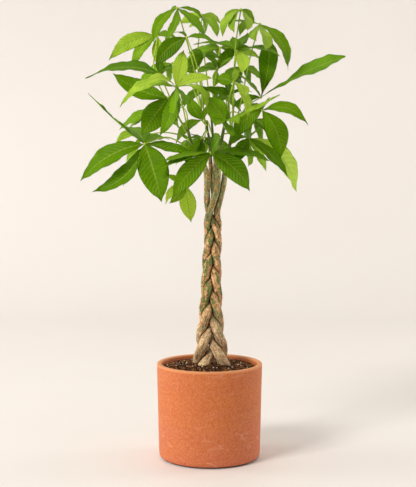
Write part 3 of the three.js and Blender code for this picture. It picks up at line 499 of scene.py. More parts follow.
def corners_and_faces(mesh):
    """The corners of a mesh in millimetres and its faces."""
    corners = np.array([vertex.co for vertex in mesh.vertices]) / MM
    return corners, [tuple(polygon.vertices) for polygon in mesh.polygons]


def settle(piece, slot, *nodes):
    """The piece moves with the pot's body and stands for its solids. Its slot is not used."""
    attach(piece, BODY)
    if nodes:
        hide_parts(*nodes)


def baked(source, tree, name, values):
    """The plain mesh that a geometry tree makes from an object, which is then removed."""
    modifier = source.modifiers.new("shape", "NODES")
    modifier.node_group = tree
    for item in tree.interface.items_tree:
        if item.item_type == "SOCKET" and item.in_out == "INPUT" and item.name in values:
            modifier[item.identifier] = values[item.name]
    source.update_tag()
    depsgraph = bpy.context.evaluated_depsgraph_get()
    mesh = bpy.data.meshes.new_from_object(source.evaluated_get(depsgraph), depsgraph=depsgraph)
    mesh.name = name
    source.modifiers.remove(modifier)
    data = source.data
    bpy.data.objects.remove(source)
    kept_in = bpy.data.curves if isinstance(data, bpy.types.Curve) else bpy.data.meshes
    kept_in.remove(data)
    return mesh


# ---- Small tools for node trees ----
class Wires:
    """Adds nodes to one tree and joins their sockets."""

    def __init__(self, tree):
        self.tree = tree

    def node(self, kind, inputs=None, **settings):
        made = self.tree.nodes.new(kind)
        made.location.x = 180 * len(self.tree.nodes)
        for key, value in settings.items():
            setattr(made, key, value)
        for key, value in (inputs or {}).items():
            self.feed(made.inputs[key], value)
        return made

    def output(self, kind, inputs=None, **settings):
        """The first output of a new node."""
        return self.node(kind, inputs, **settings).outputs[0]

    def feed(self, socket, value):
        if isinstance(value, bpy.types.NodeSocket):
            self.tree.links.new(value, socket)
        else:
            socket.default_value = value

    def maths(self, operation, *values):
        """One step of arithmetic on sockets or numbers."""
        return self.output("ShaderNodeMath", dict(enumerate(values)), operation=operation)

    def times(self, first, second):
        return self.maths("MULTIPLY", first, second)

    def plus(self, total, *others):
        for other in others:
            total = self.maths("ADD", total, other)
        return total

    def minus(self, first, second):
        return self.maths("SUBTRACT", first, second)

    def between(self, value, low, high, new_low=0.0, new_high=1.0):
        """A value's place between low and high, smoothed and clamped."""
        inputs = {0: value, 1: low, 2: high, 3: new_low, 4: new_high}
        return self.output("ShaderNodeMapRange", inputs, interpolation_type="SMOOTHSTEP")

    def blend(self, share, first, second, blend_type="MIX"):
        """Two colours mixed."""
        made = self.node("ShaderNodeMix", data_type="RGBA", blend_type=blend_type)
        for index, value in ((0, share), (6, first), (7, second)):
            if not isinstance(value, bpy.types.NodeSocket) and index:
                value = (*value[:3], 1.0)
            self.feed(made.inputs[index], value)
        return made.outputs[2]

    def noise(self, place, scale, detail=3.0, rough=0.5, distort=0.0):
        inputs = {"Vector": place, "Scale": scale, "Detail": detail, "Roughness": rough}
        return self.output("ShaderNodeTexNoise", {**inputs, "Distortion": distort})

    def stretched(self, place, scale):
        """A place with each axis scaled by its own factor."""
        return self.output("ShaderNodeMapping", {"Vector": place, "Scale": scale})

    def axes(self, place):
        """The X, Y and Z of a place."""
        return self.node("ShaderNodeSeparateXYZ", {0: place}).outputs

    def attribute(self, name, output):
        """What the mesh holds under a name."""
        made = self.node("ShaderNodeAttribute", attribute_name=name, attribute_type="GEOMETRY")
        return made.outputs[output]

    def vectors(self, operation, first, second):
        """One step of arithmetic on vectors. SCALE takes a number as its second value."""
        inputs = {0: first, "Scale" if operation == "SCALE" else 1: second}
        return self.output("ShaderNodeVectorMath", inputs, operation=operation)


def linear(colour):
    """A screen colour of three numbers from 0 to 255 as the light it stands for."""
    share = np.array(colour) / 255
    return tuple(np.where(share <= 0.04045, share / 12.92, ((share + 0.055) / 1.055) ** 2.4).tolist())


def new_tree(name, kind, inputs, outputs):
    """An empty node tree with its named sockets, its wires and its two end nodes."""
    tree = bpy.data.node_groups.new(name, kind)
    for label, sort, value in inputs:
        socket = tree.interface.new_socket(label, in_out="INPUT", socket_type="NodeSocket" + sort)
        if value is not None:
            socket.default_value = value
    for label, sort in outputs:
        tree.interface.new_socket(label, in_out="OUTPUT", socket_type="NodeSocket" + sort)
    wires = Wires(tree)
    return tree, wires, wires.node("NodeGroupInput").outputs, wires.node("NodeGroupOutput").inputs


def shared_group(name, fill, inputs, outputs):
    """A shader group that is filled once and then used by every material that asks for it."""
    if name not in bpy.data.node_groups:
        _, wires, given, result = new_tree(name, "ShaderNodeTree", inputs, outputs)
        fill(wires, given, result)
    return bpy.data.node_groups[name]


def new_material(name, colour):
    """A node material with its wires, its Principled shader and its object coordinates."""
    material = bpy.data.materials.new(name)
    material.use_nodes = True
    material.diffuse_color = (*colour, 1.0)
    wires = Wires(material.node_tree)
    shader = material.node_tree.nodes["Principled BSDF"]
    return material, wires, shader, wires.node("ShaderNodeTexCoord").outputs["Object"]


def bumped(wires, height, distance, strength):
    """A normal that follows a height in metres."""
    return wires.output("ShaderNodeBump", {"Height": height, "Distance": distance, "Strength": strength})


def fill_shader(wires, shader, colour, roughness, specular, normal=None):
    """Joins the main sockets of a Principled shader."""
    wires.feed(shader.inputs["Base Color"], colour)
    wires.feed(shader.inputs["Roughness"], roughness)
    shader.inputs["Specular IOR Level"].default_value = specular
    if normal is not None:
        wires.feed(shader.inputs["Normal"], normal)


def mix_to_surface(material, wires, share, shader, other):
    """The material's surface is a shader mixed with a share of another one."""
    both = wires.node("ShaderNodeMixShader", {0: share, 1: shader.outputs[0], 2: other.outputs[0]})
    wires.feed(material.node_tree.nodes["Material Output"].inputs["Surface"], both.outputs[0])


# ---- Shader groups that several finishes share ----
def fill_clouds(wires, given, result):
    """Soft patches and fine grain, for anything baked, grown or crumbled."""
    soft = wires.noise(given["Place"], given["Cloud scale"], 5.0, 0.55, 0.4)
    grain = wires.noise(given["Place"], given["Grain scale"], 2.0, 0.6)
    wires.feed(result["Clouds"], wires.between(soft, 0.3, 0.7))
    wires.feed(result["Grain"], wires.between(grain, 0.25, 0.75))


def fill_specks(wires, given, result):
    """Small separate specks: a mask of round dots at random places."""
    warp = wires.noise(given["Place"], 900.0, 1.0)
    cells = wires.node("ShaderNodeTexVoronoi", {"Vector": given["Place"], "Scale": given["Scale"]})
    near = wires.plus(cells.outputs["Distance"], wires.times(warp, 0.2))
    dot = wires.maths("LESS_THAN", near, wires.plus(given["Size"], 0.1))
    pick = wires.output("ShaderNodeSeparateColor", {0: cells.outputs["Color"]})
    chosen = wires.maths("LESS_THAN", pick, given["Share"])
    wires.feed(result["Mask"], wires.times(dot, chosen))


def fill_veins(wires, given, result):
    """The veins of a leaflet: a rib down the middle and side veins that bend towards the tip."""
    along, across, _ = wires.axes(given["Leaf place"])
    out = wires.maths("ABSOLUTE", wires.minus(wires.times(across, 2.0), 1.0))
    lean = wires.times(wires.maths("POWER", out, SIDE_VEIN_BEND), given["Slant"])
    count = wires.minus(wires.times(along, given["Side veins"]), lean)
    apart = wires.maths("PINGPONG", count, 0.5)
    thin = wires.times(wires.between(apart, 0.0, 0.11, 1.0, 0.0), wires.between(out, 0.95, 0.5))
    rib_width = wires.between(along, 0.0, 1.0, 0.09, 0.038)
    wires.feed(result["Rib"], wires.between(wires.maths("DIVIDE", out, rib_width), 0.5, 1.1, 1.0, 0.0))
    wires.feed(result["Veins"], thin)
    wires.feed(result["Quilt"], wires.times(apart, 2.0))


def placed_group(wires, tree, inputs):
    """A shader group in a material, with the material's own values."""
    return wires.node("ShaderNodeGroup", inputs, node_tree=tree).outputs


def clouds(wires, place, cloud_scale, grain_scale):
    """Clouds and grain at the scales that a material gives."""
    inputs = [("Place", "Vector", None), ("Cloud scale", "Float", 20.0), ("Grain scale", "Float", 600.0)]
    tree = shared_group("Clouds and grain", fill_clouds, inputs, [("Clouds", "Float"), ("Grain", "Float")])
    return placed_group(wires, tree, {"Place": place, "Cloud scale": cloud_scale, "Grain scale": grain_scale})


def specked(wires, colour, place, kinds, fading, end):
    """A colour with specks of several kinds, half as strong where a fading value has risen to its end."""
    numbers = [("Scale", "Float", 300.0), ("Size", "Float", 0.2), ("Share", "Float", 0.3)]
    tree = shared_group("Specks", fill_specks, [("Place", "Vector", None), *numbers], [("Mask", "Float")])
    for scale, size, share, strength, tint in kinds:
        values = {"Place": place, "Scale": scale, "Size": size, "Share": share}
        mask = placed_group(wires, tree, values)["Mask"]
        fade = wires.between(fading, 0.0, end, strength, 0.5 * strength)
        colour = wires.blend(wires.times(mask, fade), colour, linear(tint))
    return colour


def leaf_veins(wires, place, side_veins):
    """Rib, side veins and the quilting between them, at a place on a leaflet."""
    inputs = [("Leaf place", "Vector", None), ("Side veins", "Float", 13.0), ("Slant", "Float", 2.2)]
    masks = [("Rib", "Float"), ("Veins", "Float"), ("Quilt", "Float")]
    values = {"Leaf place": place, "Side veins": side_veins, "Slant": SIDE_VEIN_SLANT}
    return placed_group(wires, shared_group("Leaf veins", fill_veins, inputs, masks), values)


# ---- Finishes ----
# Heights in them are in metres. Scales of a pattern are in waves or cells for each metre.
CLAY_SALT = linear((236, 176, 146))
# Painted shade: the dark contact line along the pot's lowest edge.
CLAY_FOOT_SHADE = linear((48, 26, 16))
CLAY_RIM_HIGHLIGHT_HEIGHTS = (0.1575, 0.1615)  # the painted highlight on the rim rises between these
CLAY_FOOT_HEIGHTS = (0.0014, 0.0042)  # the painted contact shade at the foot ends between these
# Specks: cells for each metre, size, share of the cells that hold one, strength and colour.
CLAY_SPECKS = (
    (620.0, 0.2, 0.4, 0.45, (246, 204, 176)),
    (380.0, 0.15, 0.26, 0.75, (252, 220, 200)),
    (450.0, 0.15, 0.25, 0.3, (160, 84, 50)),
)
BARK_SPECKS = (
    (150.0, 0.22, 0.3, 0.8, (222, 140, 80)),
    (380.0, 0.24, 0.4, 0.7, (244, 206, 160)),
    (330.0, 0.2, 0.4, 0.8, (54, 48, 28)),
)
BARK_OLD_HEIGHTS = (0.2, 0.27)  # the old grey bark low on the stems ends between these
BARK_PALE_HEIGHTS = (0.38, 0.47)  # above the braid the olive bark is painted paler, as painted light against the crown's shade
BARK_ROOT_HEIGHTS = (0.158, 0.176)
SHOOT_HEIGHTS = (0.512, 0.545)
# Painted light: the pale olive that the upper stems are lifted towards.
BARK_PAINTED_LIGHT = linear((222, 214, 156))
BARK_OLD_BROWN = linear((216, 184, 142))
BARK_ROOT = linear((244, 208, 164))
BARK_FIBRE = linear((58, 46, 26))
SHOOT_DEEP = linear((96, 122, 40))
LEAF_GLOWS = [linear(c) for c in ((104, 156, 0), (144, 192, 4), (222, 246, 72))]  # old, grown and young
LEAF_CUP_SHADE = (0.52, 0.6, 0.4)  # painted shade: what the hollows along the side veins are darkened with
STALK_DEEP = linear((150, 180, 40))
STALK_DUSTY = linear((176, 186, 96))
PAPER_WARM = linear((244, 233, 222))


def terracotta(pot):
    """Fired clay: long soft clouds, fine pale grain, salt streaks and a pinker, saltier foot, with a painted
    highlight on the rim and painted contact shade along the lowest edge.
    """
    material, wires, shader, place = new_material("Terracotta", pot.clay)
    height = wires.axes(place)["Z"]
    cloud = clouds(wires, wires.stretched(place, (1.0, 1.0, 4.0)), 9.0, 160.0)
    fine = clouds(wires, place, 300.0, 1300.0)
    colour = wires.blend(wires.times(cloud["Clouds"], 0.7), pot.clay, pot.deep_clay)
    low = wires.between(height, 0.015, 0.105, 1.0, 0.0)
    pink = wires.times(low, wires.between(cloud["Clouds"], 0.0, 1.0, 0.35, 0.8))
    colour = wires.blend(pink, colour, pot.salty_clay)
    colour = wires.blend(wires.times(fine["Clouds"], 0.3), colour, pot.pale_clay_and_rim_highlight)
    streaks = wires.noise(wires.stretched(place, (1.0, 1.0, 2.4)), 38.0, 5.0, 0.65, 0.6)
    salt = wires.times(wires.between(streaks, 0.56, 0.74), wires.between(height, 0.02, 0.11, 0.75, 0.25))
    colour = wires.blend(salt, colour, CLAY_SALT)
    colour = specked(wires, colour, place, CLAY_SPECKS, height, 0.1)
    # Painted highlight: the rim turns paler towards its top edge.
    edge = wires.between(height, *CLAY_RIM_HIGHLIGHT_HEIGHTS)
    colour = wires.blend(wires.times(edge, 0.7), colour, pot.pale_clay_and_rim_highlight)
    # Painted shade: a dark contact line over the lowest few millimetres of the foot.
    colour = wires.blend(wires.between(height, *CLAY_FOOT_HEIGHTS, 0.95, 0.0), colour, CLAY_FOOT_SHADE)
    grain = wires.plus(*(wires.times(part, 0.5) for part in (fine["Grain"], fine["Clouds"], cloud["Grain"])))
    roughness = wires.between(fine["Grain"], 0.0, 1.0, 0.5, 0.72)
    fill_shader(wires, shader, colour, roughness, 0.4, bumped(wires, grain, 0.0003, 0.6))
    return material


def crumbly(name, colours, scale, rough_low, depth, light_from):
    """A matte, crumbly finish that wanders between two colours, with a third from a share of light on."""
    material, wires, shader, place = new_material(name, colours[0])
    cloud = clouds(wires, place, scale, 6 * scale)
    colour = wires.blend(cloud["Clouds"], colours[0], colours[1])
    light = wires.between(wires.noise(place, 0.9 * scale, 2.0), light_from, light_from + 0.07)
    colour = wires.blend(wires.times(light, 0.85), colour, colours[2])
    normal = bumped(wires, wires.plus(cloud["Grain"], cloud["Clouds"]), depth, 0.8)
    fill_shader(wires, shader, colour, wires.between(cloud["Grain"], 0.0, 1.0, rough_low, 0.95), 0.2, normal)
    return material


def earth(soil):
    """Dark, damp potting mix."""
    colours = (soil.earth, linear((22, 13, 6)), linear((150, 100, 58)))
    return crumbly("Potting mix", colours, 190.0, 0.65, 0.0008, 0.53)


def bark_bit(soil):
    """Brown bark crumbs, some of them lighter where they broke."""
    colours = (linear((92, 56, 28)), linear((40, 22, 10)), soil.bark_bits)
    return crumbly("Bark crumbs", colours, 190.0, 0.6, 0.0004, 0.5)


def perlite(soil):
    """White volcanic grains with pores."""
    colours = (soil.perlite, linear((206, 196, 182)), linear((246, 242, 236)))
    return crumbly("Perlite", colours, 500.0, 0.7, 0.0003, 0.58)


def bark(stems):
    """Olive bark with flaking tan patches rimmed in orange, with fibres and specks, and green shoots on top.
    Painted light makes the upper stems paler, and painted shade darkens the creases.

    The pattern lies on the straightened stem, so that it follows the braid.
    """
    material, wires, shader, place = new_material("Bark", stems.olive_bark)
    height = wires.axes(place)["Z"]
    straight = wires.attribute("straight", "Vector")
    tall = wires.stretched(straight, (1.0, 1.0, 0.6))
    tint = clouds(wires, tall, 150.0, 900.0)
    low = wires.between(height, *BARK_OLD_HEIGHTS, 1.0, 0.0)
    high = wires.between(height, *BARK_PALE_HEIGHTS)

    patches = wires.plus(wires.noise(tall, 105.0, 6.0, 0.6, 0.35), wires.times(low, 0.01))
    patches = wires.minus(patches, wires.times(high, 0.05))
    tan_share = wires.between(patches, 0.492, 0.506)
    rim = wires.times(wires.between(patches, 0.48, 0.498), wires.between(patches, 0.506, 0.524, 1.0, 0.0))
    tan = wires.blend(tint["Clouds"], stems.tan_bark, stems.rusty_bark)
    olive = wires.blend(tint["Clouds"], stems.olive_bark, stems.green_bark)
    # Painted light: the olive bark above the braid is lifted towards a pale olive, against the crown's shade.
    painted_light = wires.times(high, wires.between(tint["Clouds"], 0.3, 0.7, 0.55, 1.0))
    olive = wires.blend(painted_light, olive, BARK_PAINTED_LIGHT)
    colour = wires.blend(tan_share, olive, tan)
    old = wires.blend(tint["Clouds"], stems.grey_bark, BARK_OLD_BROWN)
    colour = wires.blend(wires.times(low, 0.78), colour, old)
    colour = wires.blend(wires.times(rim, 0.75), colour, stems.flake_edge)
    colour = wires.blend(wires.between(height, *BARK_ROOT_HEIGHTS, 0.75, 0.0), colour, BARK_ROOT)

    colour = specked(wires, colour, tall, BARK_SPECKS, low, 1.0)
    mottle = wires.between(wires.noise(tall, 420.0, 3.0, 0.7), 0.38, 0.62, 0.66, 1.3)
    colour = wires.blend(1.0, colour, mottle, "MULTIPLY")
    fibres = wires.noise(wires.stretched(straight, (1.0, 1.0, 0.13)), 300.0, 4.0, 0.7)
    fibres = wires.between(fibres, 0.5, 0.66)
    fibre_share = wires.times(fibres, wires.between(low, 0.0, 1.0, 0.45, 0.7))
    colour = wires.blend(fibre_share, colour, BARK_FIBRE)

    shoot = wires.between(wires.plus(height, wires.times(patches, 0.02)), *SHOOT_HEIGHTS)
    colour = wires.blend(shoot, colour, wires.blend(tint["Clouds"], stems.shoot, SHOOT_DEEP))
    # Painted shade: the creases where stems press together are darkened to a near-black brown.
    colour = wires.blend(wires.times(wires.attribute("crease", "Fac"), 0.92), colour, stems.crease)
    relief = wires.plus(
        wires.times(fibres, -0.6),
        wires.times(tan_share, 0.45),
        wires.times(tint["Grain"], 0.4),
        wires.times(tint["Clouds"], 0.5),
    )
    roughness = wires.between(shoot, 0.0, 1.0, 0.75, 0.5)
    fill_shader(wires, shader, colour, roughness, 0.3, bumped(wires, relief, 0.0011, 0.9))
    return material


def aged(wires, fresh, old, grown, young):
    """The colour of a leaflet between old at 0, grown at a half and young at 1."""
    older = wires.blend(wires.between(fresh, 0.0, 0.5), old, grown)
    return wires.blend(wires.between(fresh, 0.5, 1.0), older, young)


def leaf_skin(leaves):
    """A leaflet: veined, with painted shade along its side veins, slightly glossy above, paler below, and
    letting some light through.

    The mesh's tone holds how fresh the leaflet is, as red, and 1 on its underside, as green.
    """
    material, wires, shader, place = new_material("Leaf", leaves.grown)
    leaf_place = wires.output("ShaderNodeUVMap", uv_map="leaf")
    tone = wires.node("ShaderNodeSeparateColor", {0: wires.attribute("tone", "Color")}).outputs
    under = tone["Green"]
    vein = leaf_veins(wires, leaf_place, float(leaves.side_veins))
    cloud = clouds(wires, place, 34.0, 900.0)
    fresh = wires.plus(tone["Red"], wires.between(cloud["Clouds"], 0.0, 1.0, -0.07, 0.07))

    colour = aged(wires, fresh, leaves.old, leaves.grown, leaves.young)
    # Painted shade: the hollows along the side veins are darkened.
    cup_shade = wires.between(vein["Quilt"], 0.0, 1.0, 0.22, 0.0)
    colour = wires.blend(cup_shade, colour, wires.blend(1.0, colour, LEAF_CUP_SHADE, "MULTIPLY"))
    colour = wires.blend(wires.times(vein["Veins"], 0.12), colour, leaves.veins)
    colour = wires.blend(wires.times(under, 0.32), colour, leaves.underside)
    colour = wires.blend(wires.times(vein["Rib"], 0.8), colour, leaves.veins)

    relief = wires.plus(vein["Quilt"], wires.times(cloud["Grain"], 0.12))
    relief = wires.minus(relief, wires.times(vein["Rib"], 0.35))
    relief = wires.times(relief, wires.between(under, 0.0, 1.0, 1.0, 0.35))
    normal = bumped(wires, relief, 0.0009, 0.85)
    roughness = wires.plus(wires.times(cloud["Grain"], 0.1), 0.34, wires.times(under, 0.25))
    fill_shader(wires, shader, colour, roughness, 0.14, normal)

    glow = wires.blend(wires.times(vein["Rib"], 0.25), aged(wires, fresh, *LEAF_GLOWS), leaves.old)
    lit_through = wires.node("ShaderNodeBsdfTranslucent", {"Color": glow, "Normal": normal})
    mix_to_surface(material, wires, LEAF_LIGHT_SHARE, shader, lit_through)
    return material


def stalk_skin(leaves):
    """Smooth, slightly mottled green stalks."""
    material, wires, shader, place = new_material("Leaf stalk", leaves.stalk)
    cloud = clouds(wires, place, 60.0, 1100.0)
    colour = wires.blend(cloud["Clouds"], leaves.stalk, STALK_DEEP)
    colour = wires.blend(wires.times(cloud["Grain"], 0.2), colour, STALK_DUSTY)
    roughness = wires.between(cloud["Grain"], 0.0, 1.0, 0.4, 0.55)
    fill_shader(wires, shader, colour, roughness, 0.5, bumped(wires, cloud["Grain"], 0.00015, 0.5))
    return material


def studio_paper(stage):
    """The pale, seamless floor and backdrop, clear from behind, with painted shade to the upper left and
    towards the back, and painted light towards the front.
    """
    material, wires, shader, place = new_material("Studio paper", stage.paper)
    cloud = clouds(wires, place, 1.2, 500.0)
    colour = wires.blend(wires.times(cloud["Clouds"], 0.12), stage.paper, PAPER_WARM)
    across, back, height = wires.axes(place)
    # Painted shade to the upper left and towards the back, and painted light towards the front.
    upper_left = wires.times(wires.between(across, -0.9, 1.2, 1.0, 0.2), wires.between(height, 0.0, 1.3))
    shade = wires.minus(1.0, wires.times(upper_left, 0.14))
    shade = wires.times(shade, wires.between(back, -0.4, 0.2, 1.04, 0.96))
    colour = wires.blend(1.0, colour, shade, "MULTIPLY")
    fill_shader(wires, shader, colour, wires.between(cloud["Grain"], 0.0, 1.0, 0.6, 0.7), 0.2)
    behind = wires.node("ShaderNodeNewGeometry").outputs["Backfacing"]
    mix_to_surface(material, wires, behind, shader, wires.node("ShaderNodeBsdfTransparent"))
    return material


# ---- Pot ----
def inner_radius(z):
    """Radius of the pot's inner wall at a height."""
    share = (z - POT_FLOOR) / (POT_HEIGHT - POT_FLOOR)
    return POT_BASE_RADIUS + share * (POT_RADIUS - POT_BASE_RADIUS) - POT_WALL


def arc(centre, radius, start, end, steps):
    """Points of a round corner of the pot's outline, as radius and height."""
    angles = np.linspace(start, end, steps + 1)
    return [(centre[0] + radius * math.cos(a), centre[1] + radius * math.sin(a)) for a in angles]


def pot_outline():
    """The pot's outline from the middle of its underside, up the outside and down to its floor."""
    foot = POT_FOOT_ROUND
    rim = POT_RIM_ROUND
    top = POT_HEIGHT - rim
    quarter = math.pi / 2
    outline = [(radius, 0) for radius in POT_UNDERSIDE]
    outline += arc((POT_BASE_RADIUS - foot, foot), foot, -quarter, 0, 8)
    for share in np.linspace(0.04, 0.96, POT_WALL_RINGS):
        radius = POT_BASE_RADIUS + share * (POT_RADIUS - POT_BASE_RADIUS)
        outline.append((radius, foot + share * (top - foot)))
    outline += arc((POT_RADIUS - rim, top), rim, 0, quarter, 5)
    outline += arc((inner_radius(POT_HEIGHT) + rim, top), rim, quarter, math.pi, 5)
    outline += [(inner_radius(z), z) for z in (*POT_INSIDE, POT_FLOOR + POT_CORNER)]
    return outline + [(inner_radius(POT_FLOOR) - POT_CORNER, POT_FLOOR), (POT_FLOOR_RING, POT_FLOOR)]


def make_pot(pot):
    """The thrown and fired pot, very slightly out of true as such pots are."""
    uneven = pot.unevenness / MM
    outline = pot_outline()
    points = []
    for radius, z in outline:
        free = smooth(0, POT_TRUE_BELOW, z)
        for x, y in compass(pot.sides):
            lump = roughly((POT_LUMP_RING * x, POT_LUMP_RING * y, z), POT_LUMP, 3) * uneven
            reach = radius + (lump - uneven) * free
            points.append((reach * x, reach * y, z))
    last_ring = len(points) - pot.sides
    faces = grid_faces(len(outline), pot.sides) + turned(fan_faces(len(points), 0, pot.sides))
    faces += fan_faces(len(points) + 1, last_ring, pot.sides)
    points += [(0, 0, 0), (0, 0, POT_FLOOR)]
    piece = mesh_object("terracotta_pot", points, faces, [terracotta(pot)])
    settle(piece, "terracotta", "pot")


# ---- Soil ----
def soil_height(x, y):
    """Height of the soil's surface."""
    edge = inner_radius(SOIL_EDGE)
    radius = min(math.hypot(x, y), edge)
    mound = SOIL_EDGE + SOIL_MOUND * (1 - (radius / edge) ** SOIL_SLOPE)
    lumps = sum(high * roughly((x, y, 0), size, seed) for high, size, seed in SOIL_LUMPS)
    return mound + SOIL_OVER + lumps


def make_soil_bed(soil):
    """The soil as one closed body: a lumpy top, the wall's inside and a flat underside."""
    edge = inner_radius(SOIL_EDGE) - SOIL_CLEAR
    low = POT_FLOOR + SOIL_CLEAR
    ways = compass(SOIL_SIDES)
    radii = [edge * k / SOIL_RINGS for k in range(SOIL_RINGS, 0, -1)]
    spots = [(radius * x, radius * y) for radius in radii for x, y in ways]
    points = [(x, y, soil_height(x, y)) for x, y in spots]
    under = len(points)
    skirt = (
        (inner_radius(POT_FLOOR + POT_CORNER) - SOIL_WALL_CLEAR, low + POT_CORNER),
        (inner_radius(POT_FLOOR) - POT_CORNER - SOIL_FOOT_CLEAR, low),
    )
    points += [(radius * x, radius * y, z) for radius, z in skirt for x, y in ways]
    middle = len(points)
    points += [(0, 0, soil_height(0, 0)), (0, 0, low)]
    sides = [(i, (i + 1) % SOIL_SIDES) for i in range(SOIL_SIDES)]
    faces = grid_faces(SOIL_RINGS, SOIL_SIDES) + turned(grid_faces(2, SOIL_SIDES, under))
    faces += [(i, under + i, under + j, j) for i, j in sides]
    faces += fan_faces(middle, under - SOIL_SIDES, SOIL_SIDES)
    faces += turned(fan_faces(middle + 1, under + SOIL_SIDES, SOIL_SIDES))
    settle(mesh_object("soil_bed", points, faces, [earth(soil)]), "soil", "soil")


def soil_patch():
    """A helper: the open top of the soil, which the bits are strewn on."""
    edge = inner_radius(SOIL_EDGE) - PATCH_CLEAR
    line = [edge * (2 * step / (PATCH_SIDE - 1) - 1) for step in range(PATCH_SIDE)]
    points = [(x, y, soil_height(x, y)) for y in line for x in line]
    kept = [math.hypot(x, y) < edge for x, y, _ in points]
    faces = [face for face in grid_faces(PATCH_SIDE, PATCH_SIDE, wrap=False) if all(kept[i] for i in face)]
    return mesh_object("soil_patch", points, faces, [])


def bits_tree():
    """Geometry nodes that strew rough bits over a surface, each with its own size, turn and shape."""
    inputs = [
        ("Surface", "Geometry", None),
        ("Bits per square metre", "Float", 50000.0),
        ("Least spacing", "Float", 0.001),
        ("Smallest", "Vector", (0.001, 0.001, 0.001)),
        ("Largest", "Vector", (0.003, 0.003, 0.003)),
        ("Roughness", "Float", 0.0004),
        ("Tilt", "Float", math.pi),
        ("Raised", "Float", 0.0),
        ("Seed", "Int", 1),
        ("Finish", "Material", None),
    ]
    tree, wires, given, result = new_tree("Strewn bits", "GeometryNodeTree", inputs, [("Bits", "Geometry")])
    spread = wires.node("GeometryNodeDistributePointsOnFaces", distribute_method="POISSON")
    wires.feed(spread.inputs["Mesh"], given["Surface"])
    wires.feed(spread.inputs["Distance Min"], given["Least spacing"])
    wires.feed(spread.inputs["Density Max"], given["Bits per square metre"])
    wires.feed(spread.inputs["Seed"], given["Seed"])
    sizes = {0: given["Smallest"], 1: given["Largest"], "Seed": given["Seed"]}
    size = wires.output("FunctionNodeRandomValue", sizes, data_type="FLOAT_VECTOR")
    tilt = wires.output("ShaderNodeCombineXYZ", {0: given["Tilt"], 1: given["Tilt"], 2: FULL_TURN})
    least = wires.vectors("MULTIPLY", tilt, (-1.0, -1.0, 0.0))
    turns = {0: least, 1: tilt, "Seed": wires.plus(given["Seed"], 7.0)}
    turn = wires.output("FunctionNodeRandomValue", turns, data_type="FLOAT_VECTOR")
    ball = wires.node("GeometryNodeMeshIcoSphere", {"Radius": 0.5, "Subdivisions": 1}).outputs["Mesh"]
    places = {"Points": spread.outputs["Points"], "Instance": ball, "Rotation": turn, "Scale": size}
    placed = wires.output("GeometryNodeInstanceOnPoints", places)
    solid = wires.output("GeometryNodeRealizeInstances", {"Geometry": placed})
    where = wires.output("GeometryNodeInputPosition")
    rough = wires.node("ShaderNodeTexNoise", {"Vector": where, "Scale": 700.0, "Detail": 1.0}).outputs
    push = wires.vectors("SUBTRACT", rough["Color"], (0.5, 0.5, 0.5))
    up = wires.output("ShaderNodeCombineXYZ", {2: given["Raised"]})
    shift = wires.vectors("ADD", wires.vectors("SCALE", push, given["Roughness"]), up)
    moved = wires.output("GeometryNodeSetPosition", {"Geometry": solid, "Offset": shift})
    flat = wires.output("GeometryNodeSetShadeSmooth", {"Geometry": moved, "Shade Smooth": False})
    done = wires.output("GeometryNodeSetMaterial", {"Geometry": flat, "Material": given["Finish"]})
    wires.feed(result["Bits"], done)
    return tree


def make_soil_bits(soil):
    """Crumbs, bark chips and perlite, strewn on the soil."""
    tree = bits_tree()
    crumbs = ("soil_crumbs", earth, soil.crumb_density)
    chips = ("bark_crumbs", bark_bit, soil.chip_density)
    grains = ("perlite_grains", perlite, soil.perlite_density)
    # each: spacing, smallest and largest size, roughness, tilt, rise above the soil and seed
    kinds = (
        (*crumbs, 2.1, (2.0, 1.8, 1.6), (5.6, 4.6, 3.8), 1.9, 3.1, 0.3, 11),
        (*chips, 3.0, (2.6, 2.0, 1.4), (6.5, 4.4, 3.2), 1.7, 0.9, 1.0, 23),
        (*grains, 4.0, (1.6, 1.5, 1.3), (4.2, 3.6, 3.0), 1.2, 3.1, 1.6, 37),
    )
    for name, finish, density, spacing, small, large, rough, tilt, rise, seed in kinds:
        values = {
            "Bits per square metre": density,
            "Least spacing": spacing * MM,
            "Smallest": [value * MM for value in small],
            "Largest": [value * MM for value in large],
            "Roughness": rough * MM,
            "Tilt": tilt,
            "Raised": rise * MM,
            "Seed": seed,
            "Finish": finish(soil),
        }
        settle(new_object(name, baked(soil_patch(), tree, name, values)), "soil")


# ---- Stems ----
def stem_course(stem):
    """Points down the middle of a stem: the braid's figure of eight, then the listed path above it."""
    points = []
    for z in range(COURSE_BOTTOM, BRAID_TOP + 1, COURSE_STEP):
        turn = math.pi + 2 * math.pi * (z - BRAID_START) / BRAID_PITCH
        turn += 2 * math.pi * stem["phase"] / len(STEMS)
        keys = (BRAID_MIDDLES, BRAID_REACHES, BRAID_DEPTHS)
        middle, reach, depth = (np.interp(z, BRAID_KEY_HEIGHTS, values) for values in keys)
        points.append((middle + reach * math.sin(turn), depth * math.sin(2 * turn), z))
    return through(points + stem["path"], COURSE_POINTS)


def middle_at(course, z):
    """The middle of a stem at a height."""
    x = np.interp(z, course[:, 2], course[:, 0])
    y = np.interp(z, course[:, 2], course[:, 1])
    return np.array((x, y, min(z, course[-1, 2])))


def girth_at(stem, z):
    """A stem's radius at a height."""
    above = np.clip((z - BRAID_TOP) / GIRTH_RISE, 0, 1)
    return np.interp(z, GIRTH_HEIGHTS, GIRTHS) * (1 + above * (stem["girth"] - 1))


def straightened(index, rings, middles):
    """Each point of a stem's rings as it would lie on a straight stem, for the pattern of the bark."""
    steps = np.linalg.norm(np.diff(middles, axis=0), axis=1)
    along = np.concatenate(((0,), np.cumsum(steps)))
    aside = STRAIGHT_APART * index
    places = [(ring - middle) * LEVEL + (aside, 0, way) for ring, middle, way in zip(rings, middles, along)]
    return np.vstack(places + [(aside, 0, along[-1]), (aside, 0, 0)]) * MM


